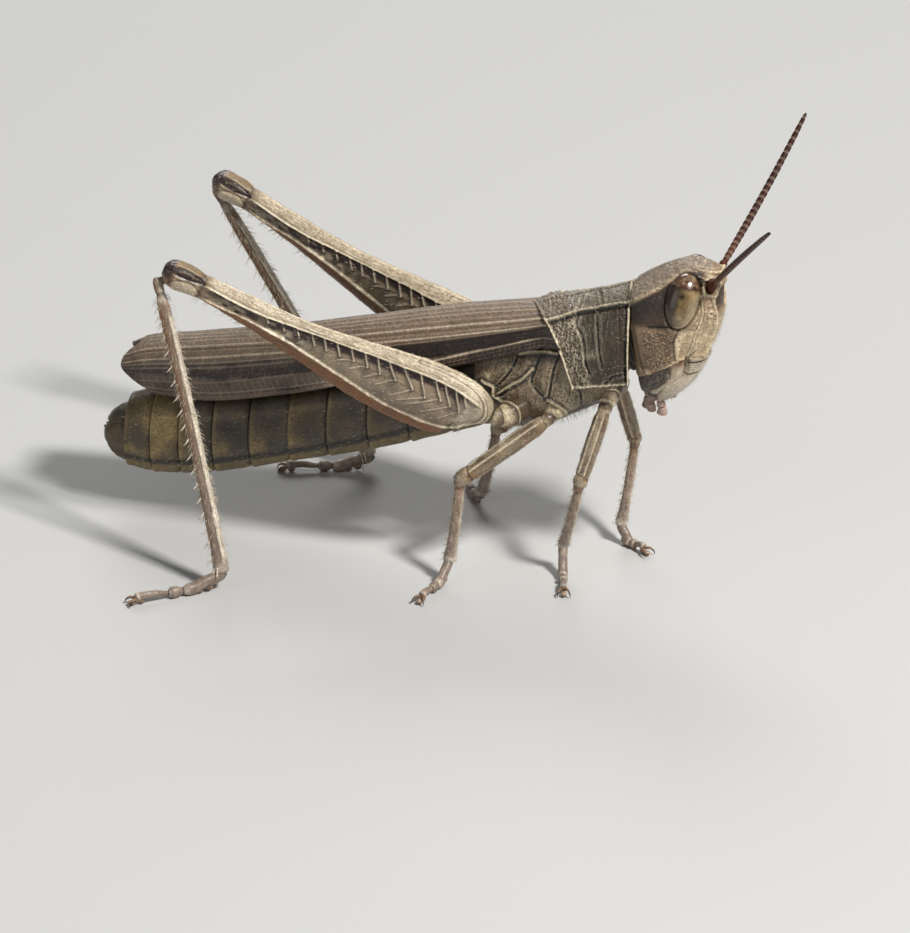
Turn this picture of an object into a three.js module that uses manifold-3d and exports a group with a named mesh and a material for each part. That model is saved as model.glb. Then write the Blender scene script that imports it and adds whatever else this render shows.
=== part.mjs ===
// A slant-faced short-horned grasshopper, female, standing on a level floor.
// Millimetres. +X is the way it faces, +Y its left side, +Z up; the floor is z = 0.
// The outer skeleton is divided at the joints of the living insect: head, eyes, feelers,
// mouthparts, pronotum, thorax, abdomen, forewings, and four pieces for each of six legs.

import * as THREE from 'three';
import { mergeVertices } from 'three/addons/utils/BufferGeometryUtils.js';
import Module from 'manifold-3d';

const wasm = await Module();
wasm.setup();

// ---------------------------------------------------------------- driving dimensions

const GAP = 0.03;              // air between two neighbouring pieces
const BODY_Y = 1.28105;        // where the body's middle plane lies, so that y = 0 is the box's middle
const BODY_X = 0.17045;        // the same for the length
const SLIM = 0.25;             // radius of the thinnest legs and feelers
const WING_THICK = 0.5;
const PRONOTUM_THICK = 0.28;
const ANTENNA_LENGTH = 6.2;
const HIND_SPINES = 12;        // spines in each of a hind tibia's two rows
const SPINE_LENGTH = 0.42;
const SPINE_RADIUS = 0.06;

// The joints of each leg: hip, knee, ankle and the end of the foot; thigh is the radius of a walking leg's,
// heel the top of a jumping leg's shin, which hangs below and behind the knee.
const LEGS = {
  fore_right: {
    hip: [5.17, -1.05, 5.70],
    knee: [4.57, -2.0, 3.29],
    ankle: [4.0, -1.5, 0.88],
    toe: [4.4, -3.1, 0.19],
    thigh: 0.27,
  },
  fore_left: {
    hip: [5.10, 1.05, 5.42],
    knee: [5.49, 1.9, 3.13],
    ankle: [5.31, 0.94, 0.6],
    toe: [6.2, 0.31, 0.19],
    thigh: 0.28,
  },
  mid_right: {
    hip: [3.54, -1.45, 5.26],
    knee: [0.93, -2.6, 3.27],
    ankle: [0.74, -3.07, 0.68],
    toe: [0.27, -4.84, 0.19],
    thigh: 0.31,
  },
  mid_left: {
    hip: [3.50, 1.45, 5.22],
    knee: [0.96, 2.3, 2.75],
    ankle: [0.54, 2.1, 0.5],
    toe: [-0.5, 3.8, 0.19],
    thigh: 0.31,
  },
  hind_right: {
    hip: [2.05, -2.15, 5.33],
    knee: [-8.41, -3.3, 9.64],
    heel: [-8.56, -3.33, 9.10],
    ankle: [-5.89, -5.5, 0.52],
    toe: [-8.34, -7.39, 0.19],
  },
  hind_left: {
    hip: [1.98, 2.15, 5.25],
    knee: [-8.75, 4.1, 9.47],
    heel: [-8.60, 4.1, 8.93],
    ankle: [-3.47, 3.84, 0.5],
    toe: [-6.2, 2.95, 0.19],
  },
};

// ---------------------------------------------------------------- small helpers

const vec = (x, y, z) => new THREE.Vector3(x, y, z);
const lerp = THREE.MathUtils.lerp;
const group = new THREE.Group();

// A smooth curve through rows of [key, value, value, ...], keys rising.
function profile(rows) {
  const slopeBetween = (i, k) => (rows[i + 1][k] - rows[i][k]) / (rows[i + 1][0] - rows[i][0]);
  const slopeAt = (i, k) => {
    if (i === 0 || i === rows.length - 1) {
      return slopeBetween(Math.min(i, rows.length - 2), k);
    }
    const before = slopeBetween(i - 1, k);
    const after = slopeBetween(i, k);
    return before * after <= 0 ? 0 : (2 * before * after) / (before + after);
  };
  return (key) => {
    let i = 0;
    while (i < rows.length - 2 && key > rows[i + 1][0]) {
      i += 1;
    }
    const span = rows[i + 1][0] - rows[i][0];
    const t = THREE.MathUtils.clamp((key - rows[i][0]) / span, 0, 1);
    return rows[i].slice(1).map((value, j) => {
      const k = j + 1;
      const rise = rows[i + 1][k] - value;
      const start = slopeAt(i, k) * span;
      const end = slopeAt(i + 1, k) * span;
      return value + start * t + (3 * rise - 2 * start - end) * t * t + (start + end - 2 * rise) * t ** 3;
    });
  };
}

function geometryFrom(points, triangles) {
  const positions = new Float32Array(points.flatMap((p) => [p.x, p.y, p.z]));
  const geometry = new THREE.BufferGeometry();
  geometry.setAttribute('position', new THREE.BufferAttribute(positions, 3));
  geometry.setIndex(triangles.flat());
  return signedVolume(points, triangles) < 0 ? turnedOut(geometry) : geometry;
}

function signedVolume(points, triangles) {
  let volume = 0;
  for (const [a, b, c] of triangles) {
    volume += points[a].dot(points[b].clone().cross(points[c]));
  }
  return volume / 6;
}

function turnedOut(geometry) {
  const index = geometry.getIndex().array;
  for (let i = 0; i < index.length; i += 3) {
    [index[i], index[i + 1]] = [index[i + 1], index[i]];
  }
  return geometry;
}

// A closed body through rings of equal point counts, each end closed by a fan.
function loft(rings) {
  const count = rings[0].length;
  const points = rings.flat();
  const triangles = [];
  for (let r = 0; r + 1 < rings.length; r += 1) {
    for (let i = 0; i < count; i += 1) {
      const a = r * count + i;
      const b = r * count + ((i + 1) % count);
      triangles.push([a, b, b + count], [a, b + count, a + count]);
    }
  }
  const closeEnd = (first, flip) => {
    const middle = points.length;
    const sum = vec(0, 0, 0);
    for (let i = 0; i < count; i += 1) {
      sum.add(points[first + i]);
    }
    points.push(sum.divideScalar(count));
    for (let i = 0; i < count; i += 1) {
      const next = first + ((i + 1) % count);
      triangles.push(flip ? [next, first + i, middle] : [first + i, next, middle]);
    }
  };
  closeEnd(0, true);
  closeEnd((rings.length - 1) * count, false);
  return geometryFrom(points, triangles);
}

// A closed sheet between an outer and an inner surface, both functions of (u, v) in 0..1.
function sheet(outer, inner, uSteps, vSteps) {
  const points = [];
  const triangles = [];
  const wide = vSteps + 1;
  for (const surface of [outer, inner]) {
    for (let i = 0; i <= uSteps; i += 1) {
      for (let j = 0; j <= vSteps; j += 1) {
        points.push(surface(i / uSteps, j / vSteps));
      }
    }
  }
  const layer = (uSteps + 1) * wide;
  const quad = (a, b, c, d) => triangles.push([a, b, c], [a, c, d]);
  for (let i = 0; i < uSteps; i += 1) {
    for (let j = 0; j < vSteps; j += 1) {
      const a = i * wide + j;
      quad(a, a + wide, a + wide + 1, a + 1);
      quad(layer + a, layer + a + 1, layer + a + wide + 1, layer + a + wide);
    }
    const left = i * wide;
    const right = left + vSteps;
    quad(left, layer + left, layer + left + wide, left + wide);
    quad(right, right + wide, layer + right + wide, layer + right);
  }
  for (let j = 0; j < vSteps; j += 1) {
    const last = uSteps * wide + j;
    quad(j, j + 1, layer + j + 1, layer + j);
    quad(last, layer + last, layer + last + 1, last + 1);
  }
  return geometryFrom(points, triangles);
}

// A ring round a centre: side is the half width, up and down reach from it to top and bottom.
function ring(centre, side, up, down, count, power = 2) {
  const points = [];
  const rounded = (value) => Math.sign(value) * Math.abs(value) ** (2 / power);
  for (let i = 0; i < count; i += 1) {
    const angle = (2 * Math.PI * i) / count;
    const c = rounded(Math.cos(angle));
    const s = rounded(Math.sin(angle));
    const tall = s > 0 ? up : down;
    points.push(centre.clone().addScaledVector(side, c).addScaledVector(tall, Math.abs(s)));
  }
  return points;
}

function roundRing(centre, side, up, radius, count) {
  const high = up.clone().multiplyScalar(radius);
  return ring(centre, side.clone().multiplyScalar(radius), high, high.clone().negate(), count);
}

function toSolid(geometry) {
  const bare = mergeVertices(geometry.clone().deleteAttribute('normal').deleteAttribute('uv'), 1e-5);
  return new wasm.Manifold(new wasm.Mesh({
    numProp: 3,
    vertProperties: new Float32Array(bare.getAttribute('position').array),
    triVerts: new Uint32Array(bare.getIndex().array),
  }));
}

function toGeometry(solid) {
  const mesh = solid.getMesh();
  const geometry = new THREE.BufferGeometry();
  geometry.setAttribute('position', new THREE.BufferAttribute(new Float32Array(mesh.vertProperties), 3));
  geometry.setIndex(Array.from(mesh.triVerts));
  return geometry;
}

// What is left of a piece once its neighbours' room is taken out; only the main body is kept.
function cutAway(geometry, neighbours) {
  let solid = toSolid(geometry);
  for (const neighbour of neighbours) {
    solid = solid.subtract(toSolid(neighbour));
  }
  const bodies = solid.decompose();
  bodies.sort((a, b) => b.volume() - a.volume());
  return toGeometry(bodies[0]);
}

function joined(geometries) {
  let solid = toSolid(geometries[0]);
  for (const geometry of geometries.slice(1)) {
    solid = solid.add(toSolid(geometry));
  }
  return toGeometry(solid);
}

function keptInside(geometry, box) {
  return toGeometry(toSolid(geometry).intersect(toSolid(box)));
}

// A large block whose one face passes through a point, on the side the normal points to.
function halfSpace(point, normal) {
  const size = 40;
  const block = new THREE.BoxGeometry(size, size, size);
  const turn = new THREE.Quaternion().setFromUnitVectors(vec(0, 0, 1), normal.clone().normalize());
  block.applyQuaternion(turn);
  const shift = point.clone().addScaledVector(normal.clone().normalize(), size / 2);
  return block.translate(shift.x, shift.y, shift.z);
}

function mirrored(geometry) {
  return turnedOut(geometry.clone().scale(1, -1, 1));
}

function addMesh(name, geometry, colour, roughness = 0.6) {
  const material = new THREE.MeshStandardMaterial({ color: colour, roughness, metalness: 0 });
  geometry.computeVertexNormals();
  const mesh = new THREE.Mesh(geometry, material);
  mesh.name = name;
  mesh.position.set(BODY_X, BODY_Y, 0);
  group.add(mesh);
}

const TAN = 0x9a8460;
const DARK_TAN = 0x6f5c44;
const STRAW = 0xb59f72;
const HORN = 0x3a2a22;
const EYE_BROWN = 0x8a6238;
const OLIVE = 0x7d7450;

// ---------------------------------------------------------------- head

// Height, back, front and half width of the head capsule, from the mouth to the crown.
const headAt = profile([
  [5.62, 6.40, 6.85, 0.42],
  [5.95, 6.20, 7.22, 0.88],
  [6.55, 6.04, 7.76, 1.22],
  [7.15, 5.93, 8.06, 1.38],
  [8.00, 5.79, 8.38, 1.45],
  [8.80, 5.67, 8.60, 1.41],
  [9.30, 5.67, 8.69, 1.24],
  [9.65, 5.99, 8.68, 1.01],
  [10.01, 6.48, 8.58, 0.76],
  [10.30, 6.96, 8.35, 0.54],
  [10.44, 7.33, 7.97, 0.26],
]);
const HEAD_BOTTOM = 5.62;
const HEAD_TOP = 10.44;

function headRing(z, count) {
  const [back, front, wide] = headAt(z);
  const rearPower = lerp(3.6, 2.2, THREE.MathUtils.smoothstep(z, 9.0, 10.2));
  const points = [];
  for (let i = 0; i < count; i += 1) {
    const angle = (2 * Math.PI * i) / count;
    const c = Math.cos(angle);
    const s = Math.sin(angle);
    const power = c > 0 ? 1.75 : rearPower;
    const along = Math.sign(c) * Math.abs(c) ** (2 / power);
    const across = Math.sign(s) * Math.abs(s) ** (2 / power);
    const middle = lerp(back, front, 0.42);
    const reach = along > 0 ? front - middle : middle - back;
    points.push(vec(middle + reach * along, wide * across, z));
  }
  return points;
}

function wholeHead() {
  const rings = [];
  const levels = 10;
  for (let i = 0; i <= levels; i += 1) {
    const t = 0.5 - 0.5 * Math.cos((Math.PI * i) / levels);
    rings.push(headRing(lerp(HEAD_BOTTOM, HEAD_TOP, lerp(t, i / levels, 0.35)), 18));
  }
  return loft(rings);
}

const EYE = { x: 7.42, y: 0.92, z: 9.42, long: 0.89, wide: 0.53, deep: 0.50, lean: 0.20, tilt: 0.38 };

function eye(side, grow = 0) {
  const ball = new THREE.SphereGeometry(1, 12, 8);
  ball.scale(EYE.wide + grow, EYE.deep + grow, EYE.long + grow);
  ball.rotateX(side * EYE.tilt);
  ball.rotateY(EYE.lean);
  return ball.translate(EYE.x, side * EYE.y, EYE.z);
}

// A feeler leaves the face in front of the eye and points up, forward and out.
const ANTENNA_DROOP = { right: 0.004, left: -0.012 };
const ANTENNA_WAY = { right: vec(2.46, -3.79, 3.95), left: vec(1.82, 4.68, 3.28) };

function antenna(sideName, grow = 0) {
  const side = sideName === 'left' ? 1 : -1;
  const way = ANTENNA_WAY[sideName].clone().normalize();
  const root = vec(8.16, side * 0.44, 9.72);
  const across = vec(0, 0, 1).cross(way).normalize();
  const up = way.clone().cross(across);
  const rings = [];
  const radiusAt = profile([
    [-0.35, 0.24], [0.1, 0.3], [0.5, 0.3], [0.75, 0.24], [4, 0.27], [ANTENNA_LENGTH, 0.17],
  ]);
  const stops = [-0.35, 0, 0.35, 0.62, 0.8, 2.4, 4, 5.2, ANTENNA_LENGTH];
  for (const s of stops) {
    const [radius] = radiusAt(s);
    const droop = -ANTENNA_DROOP[sideName] * Math.max(0, s) ** 2;
    const centre = root.clone().addScaledVector(way, s).addScaledVector(up, droop);
    rings.push(roundRing(centre, across, up, radius + grow, 7));
  }
  return loft(rings);
}

// The mouth: the lip hangs under the face, the jaws under the cheeks, and one slanted plane parts them.
const FACE_EDGE = { at: vec(7.6, 0, 7.67), down: vec(-0.42, 0, -0.91) };
const CHEEK_EDGE = { at: vec(6.5, 0, 7.0), down: vec(0.49, 0, -0.87) };
const LIP_REAR = { at: vec(7.15, 0, 6.6), ahead: vec(0.83, 0, -0.55) };

// What lies beyond a plane, in the direction given, starting a gap away from it.
const beyond = (at, way, gap) => halfSpace(at.clone().addScaledVector(way, gap), way);
const below = (edge, gap) => beyond(edge.at, edge.down, gap);
const aheadOfJaws = (gap) => beyond(LIP_REAR.at, LIP_REAR.ahead, gap);
const behindLip = () => beyond(LIP_REAR.at, LIP_REAR.ahead.clone().negate(), 0);
const rightHalf = () => beyond(vec(0, 0, 0), vec(0, -1, 0), GAP / 2);

function head() {
  const mouth = [
    keptInside(below(FACE_EDGE, 0), aheadOfJaws(0)),
    keptInside(below(CHEEK_EDGE, 0), behindLip()),
  ];
  const sockets = [eye(1, GAP), eye(-1, GAP), antenna('left', GAP), antenna('right', GAP), neck(GAP)];
  return cutAway(wholeHead(), [...mouth, ...sockets, pronotumRoom()]);
}

function lip() {
  return keptInside(keptInside(wholeHead(), below(FACE_EDGE, GAP)), aheadOfJaws(GAP));
}

function jaw() {
  const both = keptInside(keptInside(wholeHead(), below(CHEEK_EDGE, GAP)), behindLip());
  return keptInside(both, rightHalf());
}

function neck(grow = 0) {
  const rings = [];
  for (const [x, z, radius] of [[4.9, 7.7, 0.95], [5.6, 7.85, 1.0], [6.2, 7.95, 0.9]]) {
    const tall = vec(0, 0, radius + 0.25 + grow);
    const centre = vec(x + (x > 6 ? grow : 0), 0, z);
    rings.push(ring(centre, vec(0, radius + grow, 0), tall, tall.clone().negate(), 12));
  }
  return loft(rings);
}

// A palp hangs below the jaws and bends back at its two joints.
function palp(side) {
  const bends = [vec(6.50, side * 0.56, 6.05), vec(6.70, side * 0.60, 5.82), vec(6.72, side * 0.56, 5.60),
    vec(6.70, side * 0.54, 5.36)];
  const radii = [0.20, 0.25, 0.27, 0.20];
  const rings = bends.map((centre, i) => roundRing(centre, vec(1, 0, 0), vec(0, 1, 0), radii[i], 8));
  const nearJaw = side < 0 ? jaw() : mirrored(jaw());
  return cutAway(loft(rings), [roomFor(nearJaw), roomFor(lip())]);
}

// The room a piece takes, a little more than its own size.
function roomFor(geometry) {
  geometry.computeBoundingBox();
  const middle = geometry.boundingBox.getCenter(vec(0, 0, 0));
  geometry.translate(-middle.x, -middle.y, -middle.z);
  geometry.scale(1 + 2 * GAP, 1 + 2 * GAP, 1 + 2 * GAP);
  return geometry.translate(middle.x, middle.y, middle.z);
}

// ---------------------------------------------------------------- pronotum and wings

const DISC_PART = 0.36;        // share of the half section that is the flat disc

// Height of the middle line, of the side keels and of the lobes' lower edge at a place along x.
const PRONOTUM = {
  top: (x) => 8.36 + 0.352 * (x - 2.57),
  keel: (x) => 8.26 + 0.335 * (x - 3.14),
  edge: (x) => 6.43 + 0.140 * (x - 4.22),
};
const keelOut = profile([[2.5, 1.12], [3.4, 0.98], [4.4, 0.72], [5.1, 0.72], [5.9, 0.86]]);

function pronotumSurface(inset, endGrow = 0) {
  return (u, v) => {
    const side = v * 2 - 1;
    const around = Math.abs(side);
    const down = Math.max(0, (around - DISC_PART) / (1 - DISC_PART));
    const over = Math.min(1, around / DISC_PART);
    const rear = lerp(2.57, 3.14, over) + 1.08 * down ** 0.75 - endGrow;
    const front = lerp(5.66, 5.80, over) + 0.14 * down + endGrow;
    const x = lerp(rear, front, u);
    const lobeOut = lerp(1.74, 1.52, u) - inset;
    const disc = keelOut(x)[0] - inset * 0.7;
    const bulge = Math.sin((down * Math.PI) / 2) ** 0.7;
    const y = down > 0 ? lerp(disc, lobeOut, bulge) : disc * over;
    const top = PRONOTUM.top(x) - inset;
    const keel = PRONOTUM.keel(x) - inset;
    const edge = PRONOTUM.edge(x) - endGrow;
    const z = down > 0 ? lerp(keel, edge, down) : lerp(top, keel, over ** 2);
    return vec(x, Math.sign(side) * y, z);
  };
}

const pronotum = () => sheet(pronotumSurface(0), pronotumSurface(PRONOTUM_THICK), 6, 16);

function pronotumRoom() {
  const outer = pronotumSurface(-GAP, GAP);
  const inner = pronotumSurface(PRONOTUM_THICK + GAP, GAP);
  return sheet(outer, inner, 6, 16);
}

// Middle line, fold (out, height) and lower edge (out, height) of the closed wings along x.
const wingAt = profile([
  [-10.5, 5.20, 0.60, 5.05, 0.95, 4.42],
  [-9.7, 5.62, 0.66, 5.38, 1.10, 4.25],
  [-8.1, 5.96, 0.72, 5.66, 1.20, 4.24],
  [-4.9, 6.62, 0.82, 6.26, 1.36, 4.90],
  [-2.3, 7.28, 0.90, 6.86, 1.46, 5.76],
  [0.2, 7.94, 0.98, 7.46, 1.54, 6.52],
  [3.2, 8.52, 1.02, 8.20, 1.62, 7.62],
]);
const FOLD_PART = 0.36;        // share of the wing's width that lies flat above the fold
const WING_TIP = -10.46;

function wingSurface(inset, grow = 0) {
  return (u, v) => {
    const down = Math.max(0, (v - FOLD_PART) / (1 - FOLD_PART));
    const over = Math.min(1, v / FOLD_PART);
    const base = lerp(2.57, 3.14, over) + 0.60 * down ** 0.75 - GAP * 4 + grow;
    const tip = WING_TIP + 0.95 * Math.abs(2 * v - 0.86) ** 2.4 - grow;
    const x = lerp(base, tip, u);
    const [top, foldOut, foldHigh, edgeOut, edgeHigh] = wingAt(x);
    let out = (foldOut - inset * 0.75) * over;
    let high = lerp(top, foldHigh, over ** 1.8) - inset;
    if (down > 0) {
      const bulge = Math.sin((down * Math.PI) / 2) ** 0.8;
      out = lerp(foldOut, edgeOut, bulge) - inset * lerp(0.75, 1, down);
      high = lerp(foldHigh - inset * (1 - down), edgeHigh, down);
    }
    return vec(x, -Math.max(out, GAP / 2), high - grow * down);
  };
}

const wing = () => sheet(wingSurface(0), wingSurface(WING_THICK), 11, 8);

function wingRoom() {
  const outer = wingSurface(-GAP, GAP);
  const inner = wingSurface(WING_THICK + GAP, GAP);
  return sheet(outer, inner, 11, 8);
}

// ---------------------------------------------------------------- thorax and abdomen

// Roof, floor and half width of the thorax along x.
const thoraxAt = profile([
  [1.30, 7.50, 4.22, 1.34],
  [2.30, 7.75, 4.30, 1.50],
  [3.40, 8.00, 4.62, 1.52],
  [4.40, 8.40, 5.15, 1.40],
  [5.20, 8.70, 5.62, 1.14],
]);
// The same for the abdomen, which hangs back and down under the wings.
const abdomenAt = profile([
  [-10.35, 3.55, 1.22, 0.88],
  [-9.40, 3.92, 1.12, 1.10],
  [-8.00, 4.25, 1.28, 1.22],
  [-6.30, 4.62, 1.70, 1.30],
  [-4.70, 5.00, 2.18, 1.34],
  [-3.10, 5.55, 2.62, 1.34],
  [-1.50, 6.20, 3.14, 1.34],
  [1.24, 7.30, 4.16, 1.30],
]);
const SEGMENTS = [1.24, 0.2, -1.1, -2.4, -3.7, -4.95, -6.2, -7.4, -8.5, -9.45, -10.35];
const STEP_IN = 0.035;         // how far each abdominal ring tucks under the one before it
const BODY_SIDES = 16;

function bodyRing(x, [roof, floor, wide], count, inset = 0, power = 2.2) {
  const middle = lerp(floor, roof, 0.52);
  return ring(vec(x, 0, middle), vec(0, wide - inset, 0), vec(0, 0, roof - middle - inset),
    vec(0, 0, floor - middle + inset), count, power);
}

function thorax() {
  const rings = [];
  const steps = 6;
  for (let i = 0; i <= steps; i += 1) {
    const x = lerp(1.30, 5.20, i / steps);
    rings.push(bodyRing(x, thoraxAt(x), BODY_SIDES, 0, 2.5));
  }
  const coxae = Object.keys(LEGS).map((name) => coxa(name, GAP));
  return cutAway(loft(rings), [pronotumRoom(), wingRoom(), mirrored(wingRoom()), neck(GAP), ...coxae]);
}

function abdomen(from, to) {
  const rings = [];
  for (let i = from; i < to; i += 1) {
    const start = SEGMENTS[i] - (i === from ? GAP : 0);
    const end = SEGMENTS[i + 1];
    const full = lerp(start, end, 0.25);
    rings.push(bodyRing(start, abdomenAt(start), BODY_SIDES, STEP_IN));
    rings.push(bodyRing(full, abdomenAt(full), BODY_SIDES));
    rings.push(bodyRing(end + GAP, abdomenAt(end), BODY_SIDES));
  }
  const hips = [coxa('hind_right', GAP), coxa('hind_left', GAP)];
  return cutAway(loft(rings), [wingRoom(), mirrored(wingRoom()), ...hips]);
}

// The end of the abdomen: four short digging valves and a pair of small tail feelers.
function ovipositor() {
  const rings = [];
  for (const [x, roof, floor, wide] of [[-10.38, 3.38, 1.34, 0.80], [-10.75, 3.02, 1.62, 0.58],
    [-11.05, 2.70, 1.86, 0.38], [-11.24, 2.42, 2.0, 0.18]]) {
    rings.push(bodyRing(x, [roof, floor, wide], 12));
  }
  const tails = [];
  for (const side of [1, -1]) {
    const tail = loft([
      ring(vec(-10.5, side * 0.52, 2.9), vec(0, 0.25, 0), vec(0, 0, 0.22), vec(0, 0, -0.22), 6),
      ring(vec(-10.95, side * 0.56, 2.86), vec(0, 0.12, 0), vec(0, 0, 0.12), vec(0, 0, -0.12), 6),
    ]);
    tails.push(tail);
  }
  return joined([loft(rings), ...tails]);
}

// ---------------------------------------------------------------- legs

const HIP_ROOM = 0.10;         // where a walking leg's thigh starts, beyond its coxa's end
const ANKLE_ROOM = 0.30;       // where a shin stops, above the foot's first joint

const point = (list) => vec(...list);

// A limb piece from one joint to the next; stations are [share of length, up, down, half width].
function limb(start, end, bendTowards, stations, count = 8, power = 2) {
  const way = end.clone().sub(start);
  const along = way.clone().normalize();
  const side = along.clone().cross(bendTowards).normalize();
  const up = side.clone().cross(along).normalize();
  const rings = stations.map(([share, above, below, half]) => ring(
    start.clone().addScaledVector(way, share),
    side.clone().multiplyScalar(half),
    up.clone().multiplyScalar(above),
    up.clone().multiplyScalar(-below),
    count,
    power,
  ));
  return loft(rings);
}

// Stations of a limb that is as tall above as below, from shares of one radius.
function scaled(swell, radius) {
  return swell.map(([share, tall, wide]) => [share, radius * tall, radius * tall, radius * wide]);
}

function coxa(name, grow = 0) {
  const leg = LEGS[name];
  const side = name.endsWith('right') ? -1 : 1;
  const hip = point(leg.hip);
  const inward = name.startsWith('hind') ? vec(0.52, -side * 0.75, 0.10) : vec(0.10, -side * 0.62, 0.45);
  const base = hip.clone().add(inward);
  const size = { fore: 0.36, mid: 0.42, hind: 0.43 }[name.split('_')[0]];
  const stations = [[-0.1, 0.7], [0.15, 1], [0.65, 0.95], [1, 0.52]].map(([share, part]) => {
    const radius = size * part + grow;
    return [share, radius, radius, radius];
  });
  return limb(base, hip, vec(0, 0, 1), stations, 8);
}

// The first pair's coxae stand partly under the pronotum's lobes.
function coxaPiece(name) {
  const lobes = name.startsWith('fore') ? [pronotumRoom()] : [];
  return cutAway(coxa(name), lobes);
}

// Above and below the line from hip to knee, and half as thick, along a hind thigh.
const hindThighAt = profile([
  [0.030, 0.26, 0.26, 0.30],
  [0.060, 0.56, 0.48, 0.42],
  [0.118, 0.78, 1.00, 0.48],
  [0.180, 0.82, 1.19, 0.50],
  [0.240, 0.79, 1.21, 0.49],
  [0.360, 0.62, 1.10, 0.44],
  [0.480, 0.43, 0.94, 0.38],
  [0.600, 0.32, 0.80, 0.33],
  [0.770, 0.34, 0.56, 0.28],
  [0.880, 0.38, 0.42, 0.27],
  [0.930, 0.43, 0.45, 0.36],
  [0.962, 0.42, 0.46, 0.38],
  [0.985, 0.33, 0.36, 0.33],
  [0.998, 0.20, 0.22, 0.22],
]);

function femur(name) {
  const leg = LEGS[name];
  const hip = point(leg.hip);
  const knee = point(leg.knee);
  if (!name.startsWith('hind')) {
    const reach = hip.distanceTo(knee);
    const start = (HIP_ROOM + GAP) / reach;
    const stop = 1 - (SLIM + GAP) / reach;
    const swell = [
      [start, 0.72, 0.72],
      [0.14, 1, 0.92],
      [0.5, 1.06, 1],
      [0.85, 0.92, 0.88],
      [stop - 0.03, 1.02, 1],
      [stop, 0.8, 0.8],
    ];
    return limb(hip, knee, vec(0, 0, 1), scaled(swell, leg.thigh), 8);
  }
  const stations = [];
  const stops = [0.03, 0.06, 0.118, 0.18, 0.26, 0.38, 0.5, 0.65, 0.82, 0.89, 0.93, 0.965, 0.998];
  for (const share of stops) {
    const [above, below, half] = hindThighAt(share);
    stations.push([share, above, below, half]);
  }
  const shape = limb(hip, knee, vec(0, 0, 1), stations, 10, 1.9);
  return cutAway(shape, [coxa(name, GAP), shin(name, GAP)]);
}

function shin(name, grow = 0) {
  const leg = LEGS[name];
  const radius = SLIM + grow;
  const top = point(leg.heel ?? leg.knee);
  const ankle = point(leg.ankle);
  const foot = ANKLE_ROOM / top.distanceTo(ankle);
  const swell = [[-0.012, 0.7, 0.8], [0.02, 1, 1], [0.5, 0.9, 0.97], [1 - foot, 1.04, 1.08]];
  return limb(top, ankle, vec(1, 0, 0), scaled(swell, radius), 8);
}

// A three-sided point from a root to a tip.
function spike(root, tip, radius) {
  const cone = new THREE.ConeGeometry(radius, root.distanceTo(tip), 3, 1);
  const way = tip.clone().sub(root).normalize();
  cone.applyQuaternion(new THREE.Quaternion().setFromUnitVectors(vec(0, 1, 0), way));
  const middle = root.clone().lerp(tip, 0.5);
  return cone.translate(middle.x, middle.y, middle.z);
}

// A hind shin carries two rows of spines on its rear edge; they lean towards the foot.
function tibia(name) {
  const bare = shin(name);
  if (!name.startsWith('hind')) {
    return bare;
  }
  const heel = point(LEGS[name].heel);
  const ankle = point(LEGS[name].ankle);
  const along = ankle.clone().sub(heel).normalize();
  const side = along.clone().cross(vec(1, 0, 0)).normalize();
  const rear = side.clone().cross(along).normalize().negate();
  const pieces = [bare];
  for (const row of [1, -1]) {
    for (let i = 0; i < HIND_SPINES; i += 1) {
      const share = lerp(0.2, 0.93, i / (HIND_SPINES - 1));
      const root = heel.clone().lerp(ankle, share);
      root.addScaledVector(rear, SLIM * 0.48).addScaledVector(side, row * SLIM * 0.4);
      const way = rear.clone().multiplyScalar(0.72);
      way.addScaledVector(along, 0.6).addScaledVector(side, row * 0.3);
      const tip = root.clone().addScaledVector(way.normalize(), SPINE_LENGTH);
      pieces.push(spike(root, tip, SPINE_RADIUS));
    }
  }
  return joined(pieces);
}

// A foot of three joints lies flat on the floor and ends in two claws.
function tarsus(name) {
  const ankle = point(LEGS[name].ankle);
  const toe = point(LEGS[name].toe);
  const way = toe.clone().sub(ankle);
  const reach = way.length();
  const level = vec(way.x, way.y, 0).normalize();
  const across = vec(-level.y, level.x, 0);
  const heightAt = profile([[0, ankle.z], [0.3, 0.30], [0.55, 0.2], [1, 0.2]]);
  const radiusAt = profile([
    [0, 0.23], [0.12, 0.25], [0.32, 0.22], [0.42, 0.25], [0.6, 0.21], [0.85, 0.24], [1, 0.16],
  ]);
  const rings = [];
  for (const share of [0, 0.12, 0.32, 0.42, 0.62, 0.86, 1]) {
    const centre = ankle.clone().addScaledVector(level, share * reach * 0.97);
    centre.z = heightAt(share)[0];
    const [r] = radiusAt(share);
    rings.push(roundRing(centre, across, vec(0, 0, 1), r, 7));
  }
  const pieces = [loft(rings)];
  for (const side of [1, -1]) {
    const root = toe.clone().addScaledVector(level, -0.2).addScaledVector(across, side * 0.08);
    const tip = toe.clone().addScaledVector(level, 0.16).addScaledVector(across, side * 0.26);
    tip.z = 0.1;
    pieces.push(limb(root, tip, vec(0, 0, 1), [[0, 0.1, 0.1, 0.1], [1, 0.04, 0.04, 0.04]], 4));
  }
  const floor = halfSpace(vec(0, 0, 0), vec(0, 0, 1));
  return cutAway(keptInside(joined(pieces), floor), [shin(name, GAP)]);
}

// ---------------------------------------------------------------- assembly

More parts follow.
